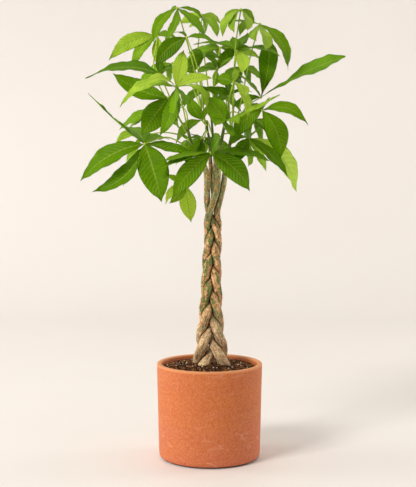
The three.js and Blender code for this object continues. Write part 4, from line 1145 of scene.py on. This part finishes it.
def softly_least(first, second):
    """The lesser of two distances, with a soft edge where they are alike."""
    return -np.logaddexp(-PRESS_SHARPNESS * first, -PRESS_SHARPNESS * second) / PRESS_SHARPNESS


def roughened(ring, ways, index, z, woody):
    """A stem's ring with the lumps and scars of its bark, which fade on the shoots."""
    share = SHOOT_ROUGHNESS + (1 - SHOOT_ROUGHNESS) * woody
    for i, point in enumerate(ring):
        lumps = sum(high * roughly(point * (1, 1, drawn), size, index) for high, size, drawn in STEM_LUMPS)
        turn = z / RIDGE_WAVE + RIDGE_WANDER * roughly(point, RIDGE_WANDER_SIZE, index + len(STEMS))
        ridge = RIDGE * math.sin(turn) ** RIDGE_SHARPNESS
        ring[i] += ways[i] * (lumps + ridge) * share
    return ring


def stem_ring(index, courses, z, stems):
    """One ring round a stem, and the painted shade of its creases: round, lumpy, and pressed flat where
    other stems lie on it.
    """
    stem = STEMS[index]
    middle = middle_at(courses[index], z)
    woody = 1 - smooth(*SHOOT_FADE, z)
    flare = 1 + FLARE * (1 - smooth(*FLARE_HEIGHTS, z))
    swell = stems.swell / MM * np.interp(z, SWELL_HEIGHTS, SWELLS) * woody
    radius = (girth_at(stem, z) + swell) * flare
    ways = np.array([(x, y, 0) for x, y in compass(stems.sides)])
    reach = np.full(stems.sides, radius)
    crease_shade_share = np.zeros(stems.sides)
    for other, other_course in zip(STEMS, courses):
        if other is stem or other_course[-1, 2] < z:
            continue
        between = middle_at(other_course, z) - middle
        distance = np.linalg.norm(between)
        facing = ways @ between / distance
        other_radius = (girth_at(other, z) + swell) * flare
        share = (distance**2 + radius**2 - other_radius**2) / (2 * distance) + stems.press / MM
        pressed = np.where(facing > LEAST_FACING, share / np.maximum(facing, LEAST_FACING), np.inf)
        # Painted shade: a crease darkens where a neighbour lies close.
        crease_shade_share += 1 - smooth(*CREASE, pressed - radius)
        reach = softly_least(reach, np.minimum(pressed, PRESS_REACH))
    ring = roughened(middle + ways * reach[:, None], ways, index, z, woody)
    return ring, np.minimum(crease_shade_share, 1) ** CREASE_SHAPE


def make_stem(index, courses, finish, stems):
    """One stem, from a level foot in the soil to a rounded tip."""
    course = courses[index]
    top = course[-1, 2]
    heights = np.arange(STEM_BEND, top, stems.step / MM)
    rings, creases = zip(*(stem_ring(index, courses, z, stems) for z in heights))
    rings = [rings[0] * LEVEL + (0, 0, STEM_BOTTOM), *rings]
    last = middle_at(course, top)
    tip_ring = rings[-1] - rings[-1].mean(axis=0)
    rings += [last + tip_ring * (share, share, 0) + (0, 0, up) for share, up in STEM_TOP]
    levels = (STEM_BOTTOM, *heights, *(top + up for _, up in STEM_TOP))
    middles = np.array([(*middle_at(course, z)[:2], z) for z in levels])
    smooth_end = np.zeros(len(STEM_TOP) * stems.sides + 2)
    points = np.vstack(rings + [last + (0, 0, STEM_TIP), rings[0].mean(axis=0)])
    tip, bottom = len(points) - 2, len(points) - 1
    faces = grid_faces(len(rings), stems.sides) + turned(fan_faces(bottom, 0, stems.sides))
    faces += fan_faces(tip, tip - stems.sides, stems.sides)
    piece = mesh_object("braided_" + STEMS[index]["name"], points, faces, [finish])
    layer = piece.data.attributes.new("straight", "FLOAT_VECTOR", "POINT")
    layer.data.foreach_set("vector", straightened(index, rings, middles).ravel())
    # How much painted shade each point of the creases gets, for the bark's colour.
    layer = piece.data.attributes.new("crease", "FLOAT", "POINT")
    layer.data.foreach_set("value", np.concatenate((creases[0], *creases, smooth_end)))
    settle(piece, "bark", STEMS[index]["name"])


def make_stems(stems):
    """The five stems, pressed together in the braid and free above it."""
    courses = [stem_course(stem) for stem in STEMS]
    finish = bark(stems)
    for index in range(len(STEMS)):
        make_stem(index, courses, finish, stems)


# ---- Leaves ----
def outline_at(s, rise=BLADE_RISE, fall=BLADE_FALL, drip=DRIP_CUT):
    """Half width of a leaflet at a share of its length, as a share of its greatest half width."""
    s = np.clip(s, 0, 1)
    widest = rise / (rise + fall)
    body = (s / widest) ** rise * ((1 - s) / (1 - widest)) ** fall
    return body * (1 - drip * smooth(DRIP_START, DRIP_END, s))


def blade_frame(hub, tip, shown, arch):
    """The rib's middle handle, the way across the leaflet and its greatest breadth."""
    length = np.linalg.norm(tip - hub)
    along = (tip - hub) / length
    middle = (hub + tip) / 2
    sight = unit(middle - VIEWPOINT)
    up = np.array((0, 0, 1))
    upward = towards(unit(np.cross(along, sight)), up)
    away = towards(np.cross(along, upward), sight)
    breadth = max(abs(shown), BLADE_BREADTH * length)
    cosine = abs(shown) / breadth
    across = cosine * upward + math.copysign(math.sqrt(max(1 - cosine**2, 0)), shown) * away
    across = -across if np.cross(along, across)[2] < 0 else across
    return middle + 2 * arch * length * upward, across, breadth


def rib_at(hub, bend, tip, s):
    """Points and directions of a leaflet's rib at shares of its length."""
    s = np.asarray(s, float)[:, None]
    points = (1 - s) ** 2 * hub + 2 * s * (1 - s) * bend + s**2 * tip
    ways = 2 * (1 - s) * (bend - hub) + 2 * s * (tip - bend)
    return points, unit(ways)


def blade_half_widths(leaflet, breadth, stations):
    """Half the width of a leaflet at shares of its length, down to a fine point."""
    rise, fall, fullness = leaflet["form"]
    half = outline_at(stations, rise, fall, FINE_DRIP) * breadth * leaflet["share"] * fullness / 2
    half = np.maximum(half, BLADE_STALK * (1 - 0.5 * smooth(*BLADE_SLIMMING, stations)))
    return half * (1 - smooth(*BLADE_POINT, stations) * BLADE_POINT_CUT)


def blade_heights(leaflet, breadth, half, stations, spans, leaves):
    """How far a leaflet's points lie above its flat middle: fold, waves, quilting and ripples."""
    s, half = stations[:, None], half[:, None]
    out, left = np.abs(spans), spans > 0
    count, phase = leaves.side_veins, leaflet["phase"]
    turn = 2 * np.pi * BLADE_WAVES * s + phase
    wave = np.where(left, np.sin(turn), np.cos(turn)) * FINE_WAVE * breadth
    lift = (FINE_FOLD * half + wave) * out**FOLD_SHAPE
    vein_place = count * s - SIDE_VEIN_SLANT * out**SIDE_VEIN_BEND
    quilt = np.abs(np.mod(vein_place + 0.5, 1) - 0.5) * 2
    length = np.linalg.norm(leaflet["tip"] - leaflet["hub"])
    swell = leaves.quilting / MM * length / QUILT_LENGTH * (quilt**QUILT_SHAPE - 0.5)
    swell = swell * np.sin(np.pi * np.minimum(out * 1.02, 1)) ** QUILT_EDGE
    ripple_turn = np.pi * count * s + phase * 2 + np.where(left, 0, RIPPLE_OFFSET)
    ripple = leaves.ripple * breadth * np.sin(ripple_turn) * out**RIPPLE_SHAPE
    before_tip = smooth(0, BLADE_FLAT_TIP, 1 - s)
    return (lift + (swell + ripple) * before_tip) * smooth(*BLADE_UNFOLDING, s)


def blade_surface(leaflet, stations, spans, leaves):
    """A grid of points over a leaflet, from hub to tip and from edge to edge, with the way up at each."""
    bend, across, breadth = blade_frame(leaflet["hub"], leaflet["tip"], leaflet["shown"], leaflet["arch"])
    points, ways = rib_at(leaflet["hub"], bend, leaflet["tip"], stations)
    ups = unit(np.cross(ways, across))[:, None, :]
    half = blade_half_widths(leaflet, breadth, stations)
    height = blade_heights(leaflet, breadth, half, stations, spans, leaves)
    grid = points[:, None, :] + across * (half[:, None] * spans)[..., None] + ups * height[..., None]
    return grid, ups, half


def shows_wrong_side(leaflet):
    """True where a steep leaflet would turn its underside to the viewer although its upper side is seen."""
    bend, across, _ = blade_frame(leaflet["hub"], leaflet["tip"], leaflet["shown"], leaflet["arch"])
    point, way = rib_at(leaflet["hub"], bend, leaflet["tip"], [0.5])
    normal = unit(np.cross(way[0], across))
    away = normal @ unit(point[0] - VIEWPOINT) > 0
    return abs(normal[2]) < STEEP and away == (leaflet["shown"] > 0)


def blade_mesh(leaflet, leaves):
    """Points, faces, leaf places and sides of one closed leaflet with an upper and a lower skin."""
    rows, columns = leaves.rows, 2 * leaves.half_columns + 1
    stations = BLADE_START + (1 - BLADE_START) * np.linspace(0, 1, rows) ** BLADE_ROW_SPREAD
    spans = np.linspace(1, -1, columns)
    spans = np.sign(spans) * np.abs(spans) ** BLADE_COLUMN_SPREAD
    grid, ups, half = blade_surface(leaflet, stations, spans, leaves)
    out = np.abs(spans)
    rib = np.exp(-((half[:, None] * out / RIB_THICK) ** 2)) * (1 - RIB_TAPER * stations)[:, None]
    thick = leaves.thickness / MM * (1 - out**6) * smooth(0, BLADE_ROUNDING, half)[:, None]
    upper = grid + ups * (0.5 * thick - RIB_ABOVE * rib)[..., None]
    lower = grid - ups * (0.5 * thick + RIB_BELOW * rib)[..., None]
    points = [*upper.reshape(-1, 3), *lower[:, 1:-1].reshape(-1, 3)]
    over = np.arange(rows * columns).reshape(rows, columns)
    under = over.copy()
    under[:, 1:-1] = rows * columns + np.arange(rows * (columns - 2)).reshape(rows, columns - 2)
    faces, places, sides = [], [], []

    def add(corners, face_places, side):
        faces.append(tuple(int(corner) for corner in corners))
        places.extend(face_places)
        sides.extend([side] * len(face_places))

    for r in range(rows - 1):
        for c in range(columns - 1):
            spots = [(r, c), (r + 1, c), (r + 1, c + 1), (r, c + 1)]
            uv = [(stations[i], 0.5 + 0.5 * spans[j]) for i, j in spots]
            add([over[spot] for spot in spots], uv, 0)
            add([under[spot] for spot in reversed(spots)], uv[::-1], 1)
    for r, order in ((0, 1), (rows - 1, -1)):
        for c in range(columns - 1):
            corners = [over[r, c], over[r, c + 1], under[r, c + 1], under[r, c]]
            corners = list(dict.fromkeys(corners[::order]))  # the skins share their edge points
            add(corners, [(stations[r], 0.5)] * len(corners), 0)
    return points, faces, places, sides


def stalk_tree():
    """Geometry nodes that run a round skin along a path and swell it by the path's own radius."""
    inputs = [("Path", "Geometry", None), ("Sides", "Int", 10), ("Finish", "Material", None)]
    outputs = [("Stalk", "Geometry")]
    tree, wires, given, result = new_tree("Leaf stalk skin", "GeometryNodeTree", inputs, outputs)
    ring = wires.output("GeometryNodeCurvePrimitiveCircle", {"Resolution": given["Sides"], "Radius": 1.0})
    radius = wires.output("GeometryNodeInputRadius")
    parts = {"Curve": given["Path"], "Profile Curve": ring, "Scale": radius, "Fill Caps": True}
    skin = wires.output("GeometryNodeCurveToMesh", parts)
    closed = wires.output("GeometryNodeMergeByDistance", {"Geometry": skin, "Distance": 0.00001})
    solid = wires.output("GeometryNodeRealizeInstances", {"Geometry": closed})
    round_skin = wires.output("GeometryNodeSetShadeSmooth", {"Geometry": solid})
    done = wires.output("GeometryNodeSetMaterial", {"Geometry": round_skin, "Material": given["Finish"]})
    wires.feed(result["Stalk"], done)
    return tree


def petiole_path(foot, via, hub, count):
    """Points down the middle of a leaf stalk."""
    out = (via - foot) * LEVEL
    knee = foot + unit(out) * KNEE_OUT + (0, 0, KNEE_UP)
    return through([foot, knee, via, hub], count)


def leaf_plan(leaf, number):
    """Where a leaf's hub, leaflet tips and stalk are meant to lie."""
    hub = seen(leaf["hub"])
    hub_u, hub_v, hub_y = leaf["hub"]
    tips = []
    if "leaflets" in leaf:
        for u, v, side, shown, arch in leaf["leaflets"]:
            apart = math.hypot(u - hub_u, v - hub_v)
            depth = math.sqrt(max(leaf["reach"] ** 2 - apart**2, 0))
            tips.append(((u, v, hub_y + side * depth), shown, arch))
        return hub, tips, leaf["via"]
    first, last = leaf["fan"]
    shortest, longest = BACK_LENGTHS
    for i in range(leaf["count"]):
        turn = math.radians(first + (last - first) * i / (leaf["count"] - 1))
        slope = math.radians(leaf["droop"] + BACK_SLOPE_SPREAD * (scatter(number, i) - 0.5))
        share = scatter(i, number)
        length = leaf["reach"] * (shortest * (1 - share) + longest * share)
        u = hub_u + length * math.cos(turn) * math.cos(slope)
        y = hub_y + length * math.sin(turn) * math.cos(slope)
        tips.append(((u, hub_v - length * math.sin(slope), y), BACK_SHOWN * length, BACK_ARCH))
    return hub, tips, (hub_u / 2, hub_v / 2 + BACK_VIA_UP, hub_y / 2)


class LeafSolid:
    """Reads back where the corners of a leaf's solid lie."""

    def __init__(self, node):
        corners, faces = corners_and_faces(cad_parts[node].data)
        self.surface = BVHTree.FromPolygons(corners.tolist(), faces)
        self.corners = KDTree(len(corners))
        for i, corner in enumerate(corners):
            self.corners.insert(corner, i)
        self.corners.balance()

    def has_corner(self, point):
        return self.corners.find(point)[2] < CORNER_MATCH

    def misses(self, path):
        """How far the points of a path lie outside the solid, summed."""
        total = 0
        for point in path:
            near, normal, _, distance = self.surface.find_nearest(Vector(point))
            if (Vector(point) - near).dot(normal) > 0:
                total += distance
        return total


def found_share(solid, hub, tip, shown, arch, phase):
    """How much of its full breadth a leaflet has in the solid."""
    bend, across, breadth = blade_frame(hub, tip, shown, arch)
    (point,), (way,) = rib_at(hub, bend, tip, [MARK_STATION])
    up = unit(np.cross(way, across))
    turn = 2 * math.pi * BLADE_WAVES * MARK_STATION + phase
    for share in BLADE_SHARES:
        half = max(outline_at(MARK_STATION) * breadth * share / 2, BLADE_STALK)
        for side, wave in ((1, math.sin(turn)), (-1, math.cos(turn))):
            edge = point + side * half * across + up * (BLADE_FOLD * half + BLADE_WAVE * breadth * wave)
            if solid.has_corner(edge):
                return share
    return BLADE_SHARES[-1]


def found_leaflet(solid, hub, place, shown, arch, phase):
    """The leaflet as the solid has it: its tip's depth and its share of the full breadth."""
    u, v, y = place
    for shift in TIP_SHIFTS:
        tip = seen((u, v, y + shift))
        if solid.has_corner(tip):
            share = found_share(solid, hub, tip, shown, arch, phase)
            return dict(hub=hub, tip=tip, shown=shown, arch=arch, phase=phase, share=share)
    raise RuntimeError(f"no corner of the solid lies at the tip {place}")


def found_petiole(solid, leaf, via, hub, courses):
    """The path of the leaf's stalk as the solid has it."""
    stem, height = leaf["start"]
    best = None
    for down in FOOT_SHIFTS:
        foot = middle_at(courses[stem], height + down)
        for back in VIA_SHIFTS:
            middle = seen((via[0], via[1], via[2] + back))
            miss = solid.misses(petiole_path(foot, middle, hub, TRIAL_STEPS)[KNEE_STEPS:])
            if best is None or miss < best[0] - 1e-6:
                best = (miss, foot, middle)
    return petiole_path(best[1], best[2], hub, PETIOLE_STEPS)


def stalk_mesh(path, tree, leaves, finish):
    """Points and faces of a leaf stalk, swollen a little at both ends."""
    curve = bpy.data.curves.new("stalk_path", "CURVE")
    curve.dimensions = "3D"
    spline = curve.splines.new("POLY")
    spline.points.add(len(path) - 1)
    shares = np.linspace(0, 1, len(path))
    (foot_more, foot_end), (head_more, head_end) = PETIOLE_SWELLS
    swell = foot_more * np.exp(-((shares / foot_end) ** 2))
    swell = PETIOLE_SLIM + swell + head_more * np.exp(-(((1 - shares) / head_end) ** 2))
    radii = (PETIOLE_FOOT + (PETIOLE_HEAD - PETIOLE_FOOT) * shares) * swell
    for point, place, radius in zip(spline.points, path, radii):
        point.co = (*(place * MM), 1.0)
        point.radius = radius * MM
    values = {"Sides": leaves.stalk_sides, "Finish": finish}
    mesh = baked(new_object("stalk_path", curve), tree, "stalk", values)
    corners, faces = corners_and_faces(mesh)
    bpy.data.meshes.remove(mesh)
    return corners, faces


def hub_mesh(hub, radius):
    """The knob that the leaflets grow from."""
    points = [hub + (0, 0, radius), hub - (0, 0, radius)]
    for r in range(1, HUB_RINGS):
        angle = math.pi * r / HUB_RINGS
        wide, high = math.sin(angle), math.cos(angle)
        points += [hub + radius * np.array((wide * x, wide * y, high)) for x, y in compass(HUB_SIDES)]
    faces = turned(grid_faces(HUB_RINGS - 1, HUB_SIDES, 2)) + fan_faces(0, 2, HUB_SIDES)
    faces += turned(fan_faces(1, len(points) - HUB_SIDES, HUB_SIDES))
    return points, faces


def freshness(leaf, number, i):
    """How fresh a leaflet looks: 0 for the darkest, 1 for the youngest."""
    if "fresh" in leaf:
        return leaf["fresh"][i]
    return TONE_FRESHNESS_AND_LIGHT[leaf["tone"]] + TONE_SPREAD * (scatter(i + 31, number) - 0.5)


def make_leaf(number, leaf, courses, skins, tree, leaves):
    """One palmate leaf: its stalk, its hub and its leaflets, read back from the solid and made fine."""
    node = f"leaf_{number:02d}"
    solid = LeafSolid(node)
    hub, tips, via = leaf_plan(leaf, number)
    points, faces, places, tones, finish = [], [], [], [], []

    def add(more, more_faces, more_places, more_tones, index):
        first = len(points)
        points.extend(more)
        faces.extend(tuple(first + corner for corner in face) for face in more_faces)
        places.extend(more_places)
        tones.extend(more_tones)
        finish.extend([index] * len(more_faces))

    for i, (place, shown, arch) in enumerate(tips):
        leaflet = found_leaflet(solid, hub, place, shown, arch, 2 * math.pi * scatter(number, i))
        leaflet["form"] = LEAFLET_FORMS.get((number, i + 1), (BLADE_RISE, POINT_FALL, 1))
        blade, blade_faces, blade_places, sides = blade_mesh(leaflet, leaves)
        fresh = freshness(leaf, number, i)
        if shows_wrong_side(leaflet):
            sides = [1 - side for side in sides]
        add(blade, blade_faces, blade_places, [(fresh, side, 0, 1) for side in sides], 0)
    path = found_petiole(solid, leaf, via, hub, courses)
    for part, part_faces in (stalk_mesh(path, tree, leaves, skins[1]), hub_mesh(hub, HUB_KNOB)):
        corners = sum(len(face) for face in part_faces)
        add(part, part_faces, [(0, 0)] * corners, [(0.5, 0, 0, 1)] * corners, 1)
    piece = mesh_object(f"foliage_{number:02d}", points, faces, skins)
    mesh = piece.data
    mesh.polygons.foreach_set("material_index", finish)
    mesh.uv_layers.new(name="leaf").data.foreach_set("uv", np.array(places, float).ravel())
    tone_layer = mesh.color_attributes.new("tone", "FLOAT_COLOR", "CORNER")
    tone_layer.data.foreach_set("color", np.array(tones, float).ravel())
    settle(piece, "leaf_" + leaf["tone"], node)


def make_leaves(leaves):
    """All the leaves of the crown."""
    courses = [stem_course(stem) for stem in STEMS]
    skins = [leaf_skin(leaves), stalk_skin(leaves)]
    tree = stalk_tree()
    for number, leaf in enumerate(LEAVES + BACK_LEAVES, 1):
        make_leaf(number, leaf, courses, skins, tree, leaves)


# ---- Stage ----
def area_light(name, place, target_height, size, power, colour):
    """A soft panel light that faces a height on the pot's axis, in metres and watts."""
    light = bpy.data.lights.new(name, "AREA")
    light.shape = "RECTANGLE"
    light.size, light.size_y = size
    light.energy = power
    light.color = colour
    lamp = new_object(name, light)
    lamp.location = place
    way = Vector((0, 0, target_height)) - Vector(place)
    lamp.rotation_euler = way.to_track_quat("-Z", "Y").to_euler()


def studio_world(stage):
    """Soft light from all round. Past the backdrop's edges the camera sees the paper's colour."""
    world = bpy.data.worlds.new("Studio")
    world.use_nodes = True
    wires = Wires(world.node_tree)
    light = world.node_tree.nodes["Background"]
    light.inputs["Color"].default_value = (*stage.sky, 1.0)
    light.inputs["Strength"].default_value = stage.sky_strength
    paper = wires.node("ShaderNodeBackground", {"Color": (*stage.paper, 1.0), "Strength": EDGE_STRENGTH})
    looking = wires.node("ShaderNodeLightPath").outputs["Is Camera Ray"]
    both = wires.node("ShaderNodeMixShader", {0: looking, 1: light.outputs[0], 2: paper.outputs[0]})
    wires.feed(world.node_tree.nodes["World Output"].inputs["Surface"], both.outputs[0])
    return world


def make_backdrop(stage):
    """The pale floor that curves up into a backdrop."""
    outline = [(FLOOR_NEAR, 0.0), (0.0, 0.0), (FLOOR_FAR, 0.0)]
    for step in range(1, BACKDROP_STEPS + 1):
        angle = math.pi / 2 * step / BACKDROP_STEPS
        outline.append((FLOOR_FAR + BACKDROP_BEND * math.sin(angle), BACKDROP_BEND * (1 - math.cos(angle))))
    outline.append((FLOOR_FAR + BACKDROP_BEND, BACKDROP_TOP))
    across = np.linspace(-FLOOR_HALF_WIDTH, FLOOR_HALF_WIDTH, BACKDROP_COLUMNS)
    points = [(x / MM, y / MM, z / MM) for y, z in outline for x in across]
    faces = grid_faces(len(outline), BACKDROP_COLUMNS, wrap=False)
    backdrop = mesh_object("backdrop", points, faces, [studio_paper(stage)])
    backdrop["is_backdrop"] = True


def make_camera():
    """The camera at the photograph's viewpoint."""
    camera = bpy.data.cameras.new("camera")
    camera.sensor_width = 36
    camera.lens = CAMERA_LENS
    camera.clip_end = 50
    eye = new_object("camera", camera)
    eye.location = VIEWPOINT * MM
    eye.rotation_euler = (math.radians(90 - CAMERA_PITCH), 0, 0)
    bpy.context.scene.camera = eye


def make_stage(stage):
    """The floor and backdrop, the soft lights and the camera."""
    make_backdrop(stage)
    bpy.context.scene.world = studio_world(stage)
    bpy.context.scene.view_settings.view_transform = "Standard"
    # name, place, height on the pot's axis that it faces, width and height, power and colour
    lights = (
        ("key", (-3.15, -3.15, 3.45), 0.3, (1.65, 1.65), stage.key_power, stage.key_colour),
        ("left", (-3.0, 0.5, 0.9), 0.4, (1.3, 1.8), stage.left_power, stage.sky),
        ("right", (2.3, 0.8, 0.8), 0.4, (1.0, 1.4), stage.right_power, stage.sky),
        ("top", (0.1, 0.3, 2.6), 0.4, (2.4, 2.0), stage.top_power, stage.sky),
    )
    for light in lights:
        area_light(*light)
    make_camera()


# ---- Sizes and colours that can be changed ----
def colour_property(name, description, colour):
    """A colour that is shown on screen as three numbers from 0 to 255."""
    return FloatVectorProperty(
        name=name, description=description, default=linear(colour), subtype="COLOR", size=3, min=0, max=1
    )


def length_property(name, description, millimetres):
    """A length, given in millimetres and kept in metres."""
    default = millimetres * MM
    return FloatProperty(name=name, description=description, default=default, unit="LENGTH", precision=5)


def number_property(name, description, default):
    """A number that isn't below 0."""
    return FloatProperty(name=name, description=description, default=default, min=0)


def count_property(name, description, default, least):
    """A whole number with its least value."""
    return IntProperty(name=name, description=description, default=default, min=least)


class PotSettings(bpy.types.PropertyGroup):
    clay: colour_property("Clay", "Main colour of the fired clay", (206, 108, 47))
    # Pale clay, also used for the painted highlight on the rim.
    pale_clay_and_rim_highlight: colour_property("Pale clay", "Colour of its paler grain and of the painted highlight on its rim", (240, 168, 114))
    deep_clay: colour_property("Deep clay", "Colour of its deeper clouds", (200, 96, 48))
    salty_clay: colour_property("Salty clay", "Colour of its pinker foot", (204, 104, 70))
    unevenness: length_property("Unevenness", "How far the pot is out of true", 0.25)
    sides: count_property("Sides", "Faces round the pot", 144, 24)


class SoilSettings(bpy.types.PropertyGroup):
    earth: colour_property("Earth", "Colour of the fine potting mix", (76, 47, 20))
    bark_bits: colour_property("Bark chips", "Colour of the lighter bark chips", (178, 120, 66))
    perlite: colour_property("Perlite", "Colour of the white grains", (246, 240, 230))
    crumb_density: number_property("Crumbs", "Crumbs per square metre", 190000.0)
    chip_density: number_property("Chips", "Bark chips per square metre", 80000.0)
    perlite_density: number_property("Perlite grains", "Per square metre", 3600.0)


class StemSettings(bpy.types.PropertyGroup):
    olive_bark: colour_property("Olive bark", "Main colour of the bark", (104, 122, 60))
    green_bark: colour_property("Green bark", "Colour of the greener bark", (146, 152, 92))
    tan_bark: colour_property("Tan bark", "Colour of the flaking patches", (244, 200, 148))
    rusty_bark: colour_property("Rusty bark", "Colour of the browner patches", (206, 156, 104))
    grey_bark: colour_property("Grey bark", "Colour of the old bark low on the stems", (250, 226, 184))
    flake_edge: colour_property("Flake edges", "Colour of the rims of the flaking patches", (224, 148, 86))
    # Painted shade in the creases between the stems.
    crease: colour_property("Creases", "Colour of the painted shade where the stems press together", (40, 28, 14))
    shoot: colour_property("Shoots", "Colour of the green shoots on top", (126, 146, 62))
    swell: length_property("Swell", "How much fuller the stems are than their solids", 0.75)
    press: length_property("Press", "How far neighbouring stems sink into each other", 0.25)
    step: length_property("Step", "Height between the rings round a stem", 1.6)
    sides: count_property("Sides", "Faces round a stem", 28, 8)


class LeafSettings(bpy.types.PropertyGroup):
    old: colour_property("Old leaf", "Upper side of the darkest leaflets", (106, 157, 0))
    grown: colour_property("Grown leaf", "Upper side of the grown leaflets", (136, 186, 0))
    young: colour_property("Young leaf", "Upper side of the youngest leaflets", (218, 248, 88))
    underside: colour_property("Underside", "What the underside is paled with", (168, 210, 40))
    veins: colour_property("Veins", "Colour of the ribs and side veins", (178, 206, 76))
    stalk: colour_property("Stalks", "Colour of the leaf stalks", (198, 230, 60))
    thickness: length_property("Thickness", "Thickness of a leaflet", 0.5)
    quilting: length_property("Quilting", "Rise between the side veins of a leaflet 90 mm long", 0.7)
    ripple: number_property("Ripple", "Height of the small edge waves, as a share of the breadth", 0.014)
    side_veins: count_property("Side veins", "Side veins along one half", 13, 1)
    rows: count_property("Rows", "Rows of faces along a leaflet", 44, 8)
    half_columns: count_property("Half columns", "Faces from the rib to the edge", 7, 3)
    stalk_sides: count_property("Stalk sides", "Faces round a leaf stalk", 10, 5)


class StageSettings(bpy.types.PropertyGroup):
    paper: colour_property("Paper", "Colour of the floor and backdrop", (248, 245, 244))
    sky: colour_property("Sky", "Colour of the light from all round", (255, 249, 240))
    key_colour: colour_property("Key colour", "Colour of the light from the upper left", (255, 250, 242))
    sky_strength: number_property("Sky strength", "Light from all round", 0.25)
    key_power: number_property("Key power", "Watts from the upper left front", 180.0)
    left_power: number_property("Left power", "Watts from the left", 37.0)
    right_power: number_property("Right power", "Watts from the right and behind", 19.0)
    top_power: number_property("Top power", "Watts from above", 17.0)


class TreeSettings(bpy.types.PropertyGroup):
    pot: PointerProperty(type=PotSettings)
    soil: PointerProperty(type=SoilSettings)
    stems: PointerProperty(type=StemSettings)
    leaves: PointerProperty(type=LeafSettings)
    stage: PointerProperty(type=StageSettings)


# ---- Operators, one for each kind of piece ----
class MakePot(bpy.types.Operator):
    """Make the terracotta pot"""

    bl_idname = "money_tree.pot"
    bl_label = "Pot"

    def execute(self, context):
        make_pot(context.scene.money_tree.pot)
        return {"FINISHED"}


class MakeSoil(bpy.types.Operator):
    """Make the soil and strew its crumbs, bark chips and perlite"""

    bl_idname = "money_tree.soil"
    bl_label = "Soil"

    def execute(self, context):
        soil = context.scene.money_tree.soil
        make_soil_bed(soil)
        make_soil_bits(soil)
        return {"FINISHED"}


class MakeStems(bpy.types.Operator):
    """Make the five braided stems"""

    bl_idname = "money_tree.stems"
    bl_label = "Stems"

    def execute(self, context):
        make_stems(context.scene.money_tree.stems)
        return {"FINISHED"}


class MakeLeaves(bpy.types.Operator):
    """Make the leaves of the crown, each with its stalk"""

    bl_idname = "money_tree.leaves"
    bl_label = "Leaves"

    def execute(self, context):
        make_leaves(context.scene.money_tree.leaves)
        return {"FINISHED"}


class MakeStage(bpy.types.Operator):
    """Make the floor, the backdrop, the soft light and the camera"""

    bl_idname = "money_tree.stage"
    bl_label = "Stage"

    def execute(self, context):
        make_stage(context.scene.money_tree.stage)
        return {"FINISHED"}


OPERATORS = (MakePot, MakeSoil, MakeStems, MakeLeaves, MakeStage)


class MoneyTreePanel(bpy.types.Panel):
    bl_idname = "VIEW3D_PT_money_tree"
    bl_label = "Money Tree"
    bl_space_type = "VIEW_3D"
    bl_region_type = "UI"
    bl_category = "Money Tree"

    def draw(self, context):
        for operator in OPERATORS:
            self.layout.operator(operator.bl_idname)


SETTINGS = (PotSettings, SoilSettings, StemSettings, LeafSettings, StageSettings, TreeSettings)
CLASSES = SETTINGS + OPERATORS + (MoneyTreePanel,)


def register():
    for kind in CLASSES:
        bpy.utils.register_class(kind)
    bpy.types.Scene.money_tree = PointerProperty(type=TreeSettings)


def unregister():
    del bpy.types.Scene.money_tree
    for kind in reversed(CLASSES):
        bpy.utils.unregister_class(kind)


def plain(value):
    """Numbers, vectors and arrays as plain lists of numbers."""
    if isinstance(value, (int, float)):
        return float(value)
    return [plain(item) for item in value]


def main():
    register()
    for operator in OPERATORS:
        name = operator.bl_idname.split(".")[1]
        if getattr(bpy.ops.money_tree, name)() != {"FINISHED"}:
            raise RuntimeError(f"the operator {name} didn't finish")
    sizes = {"cad": plain(CAD_BOX), "visual": plain(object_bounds())}


if __name__ == "__main__":
    main()
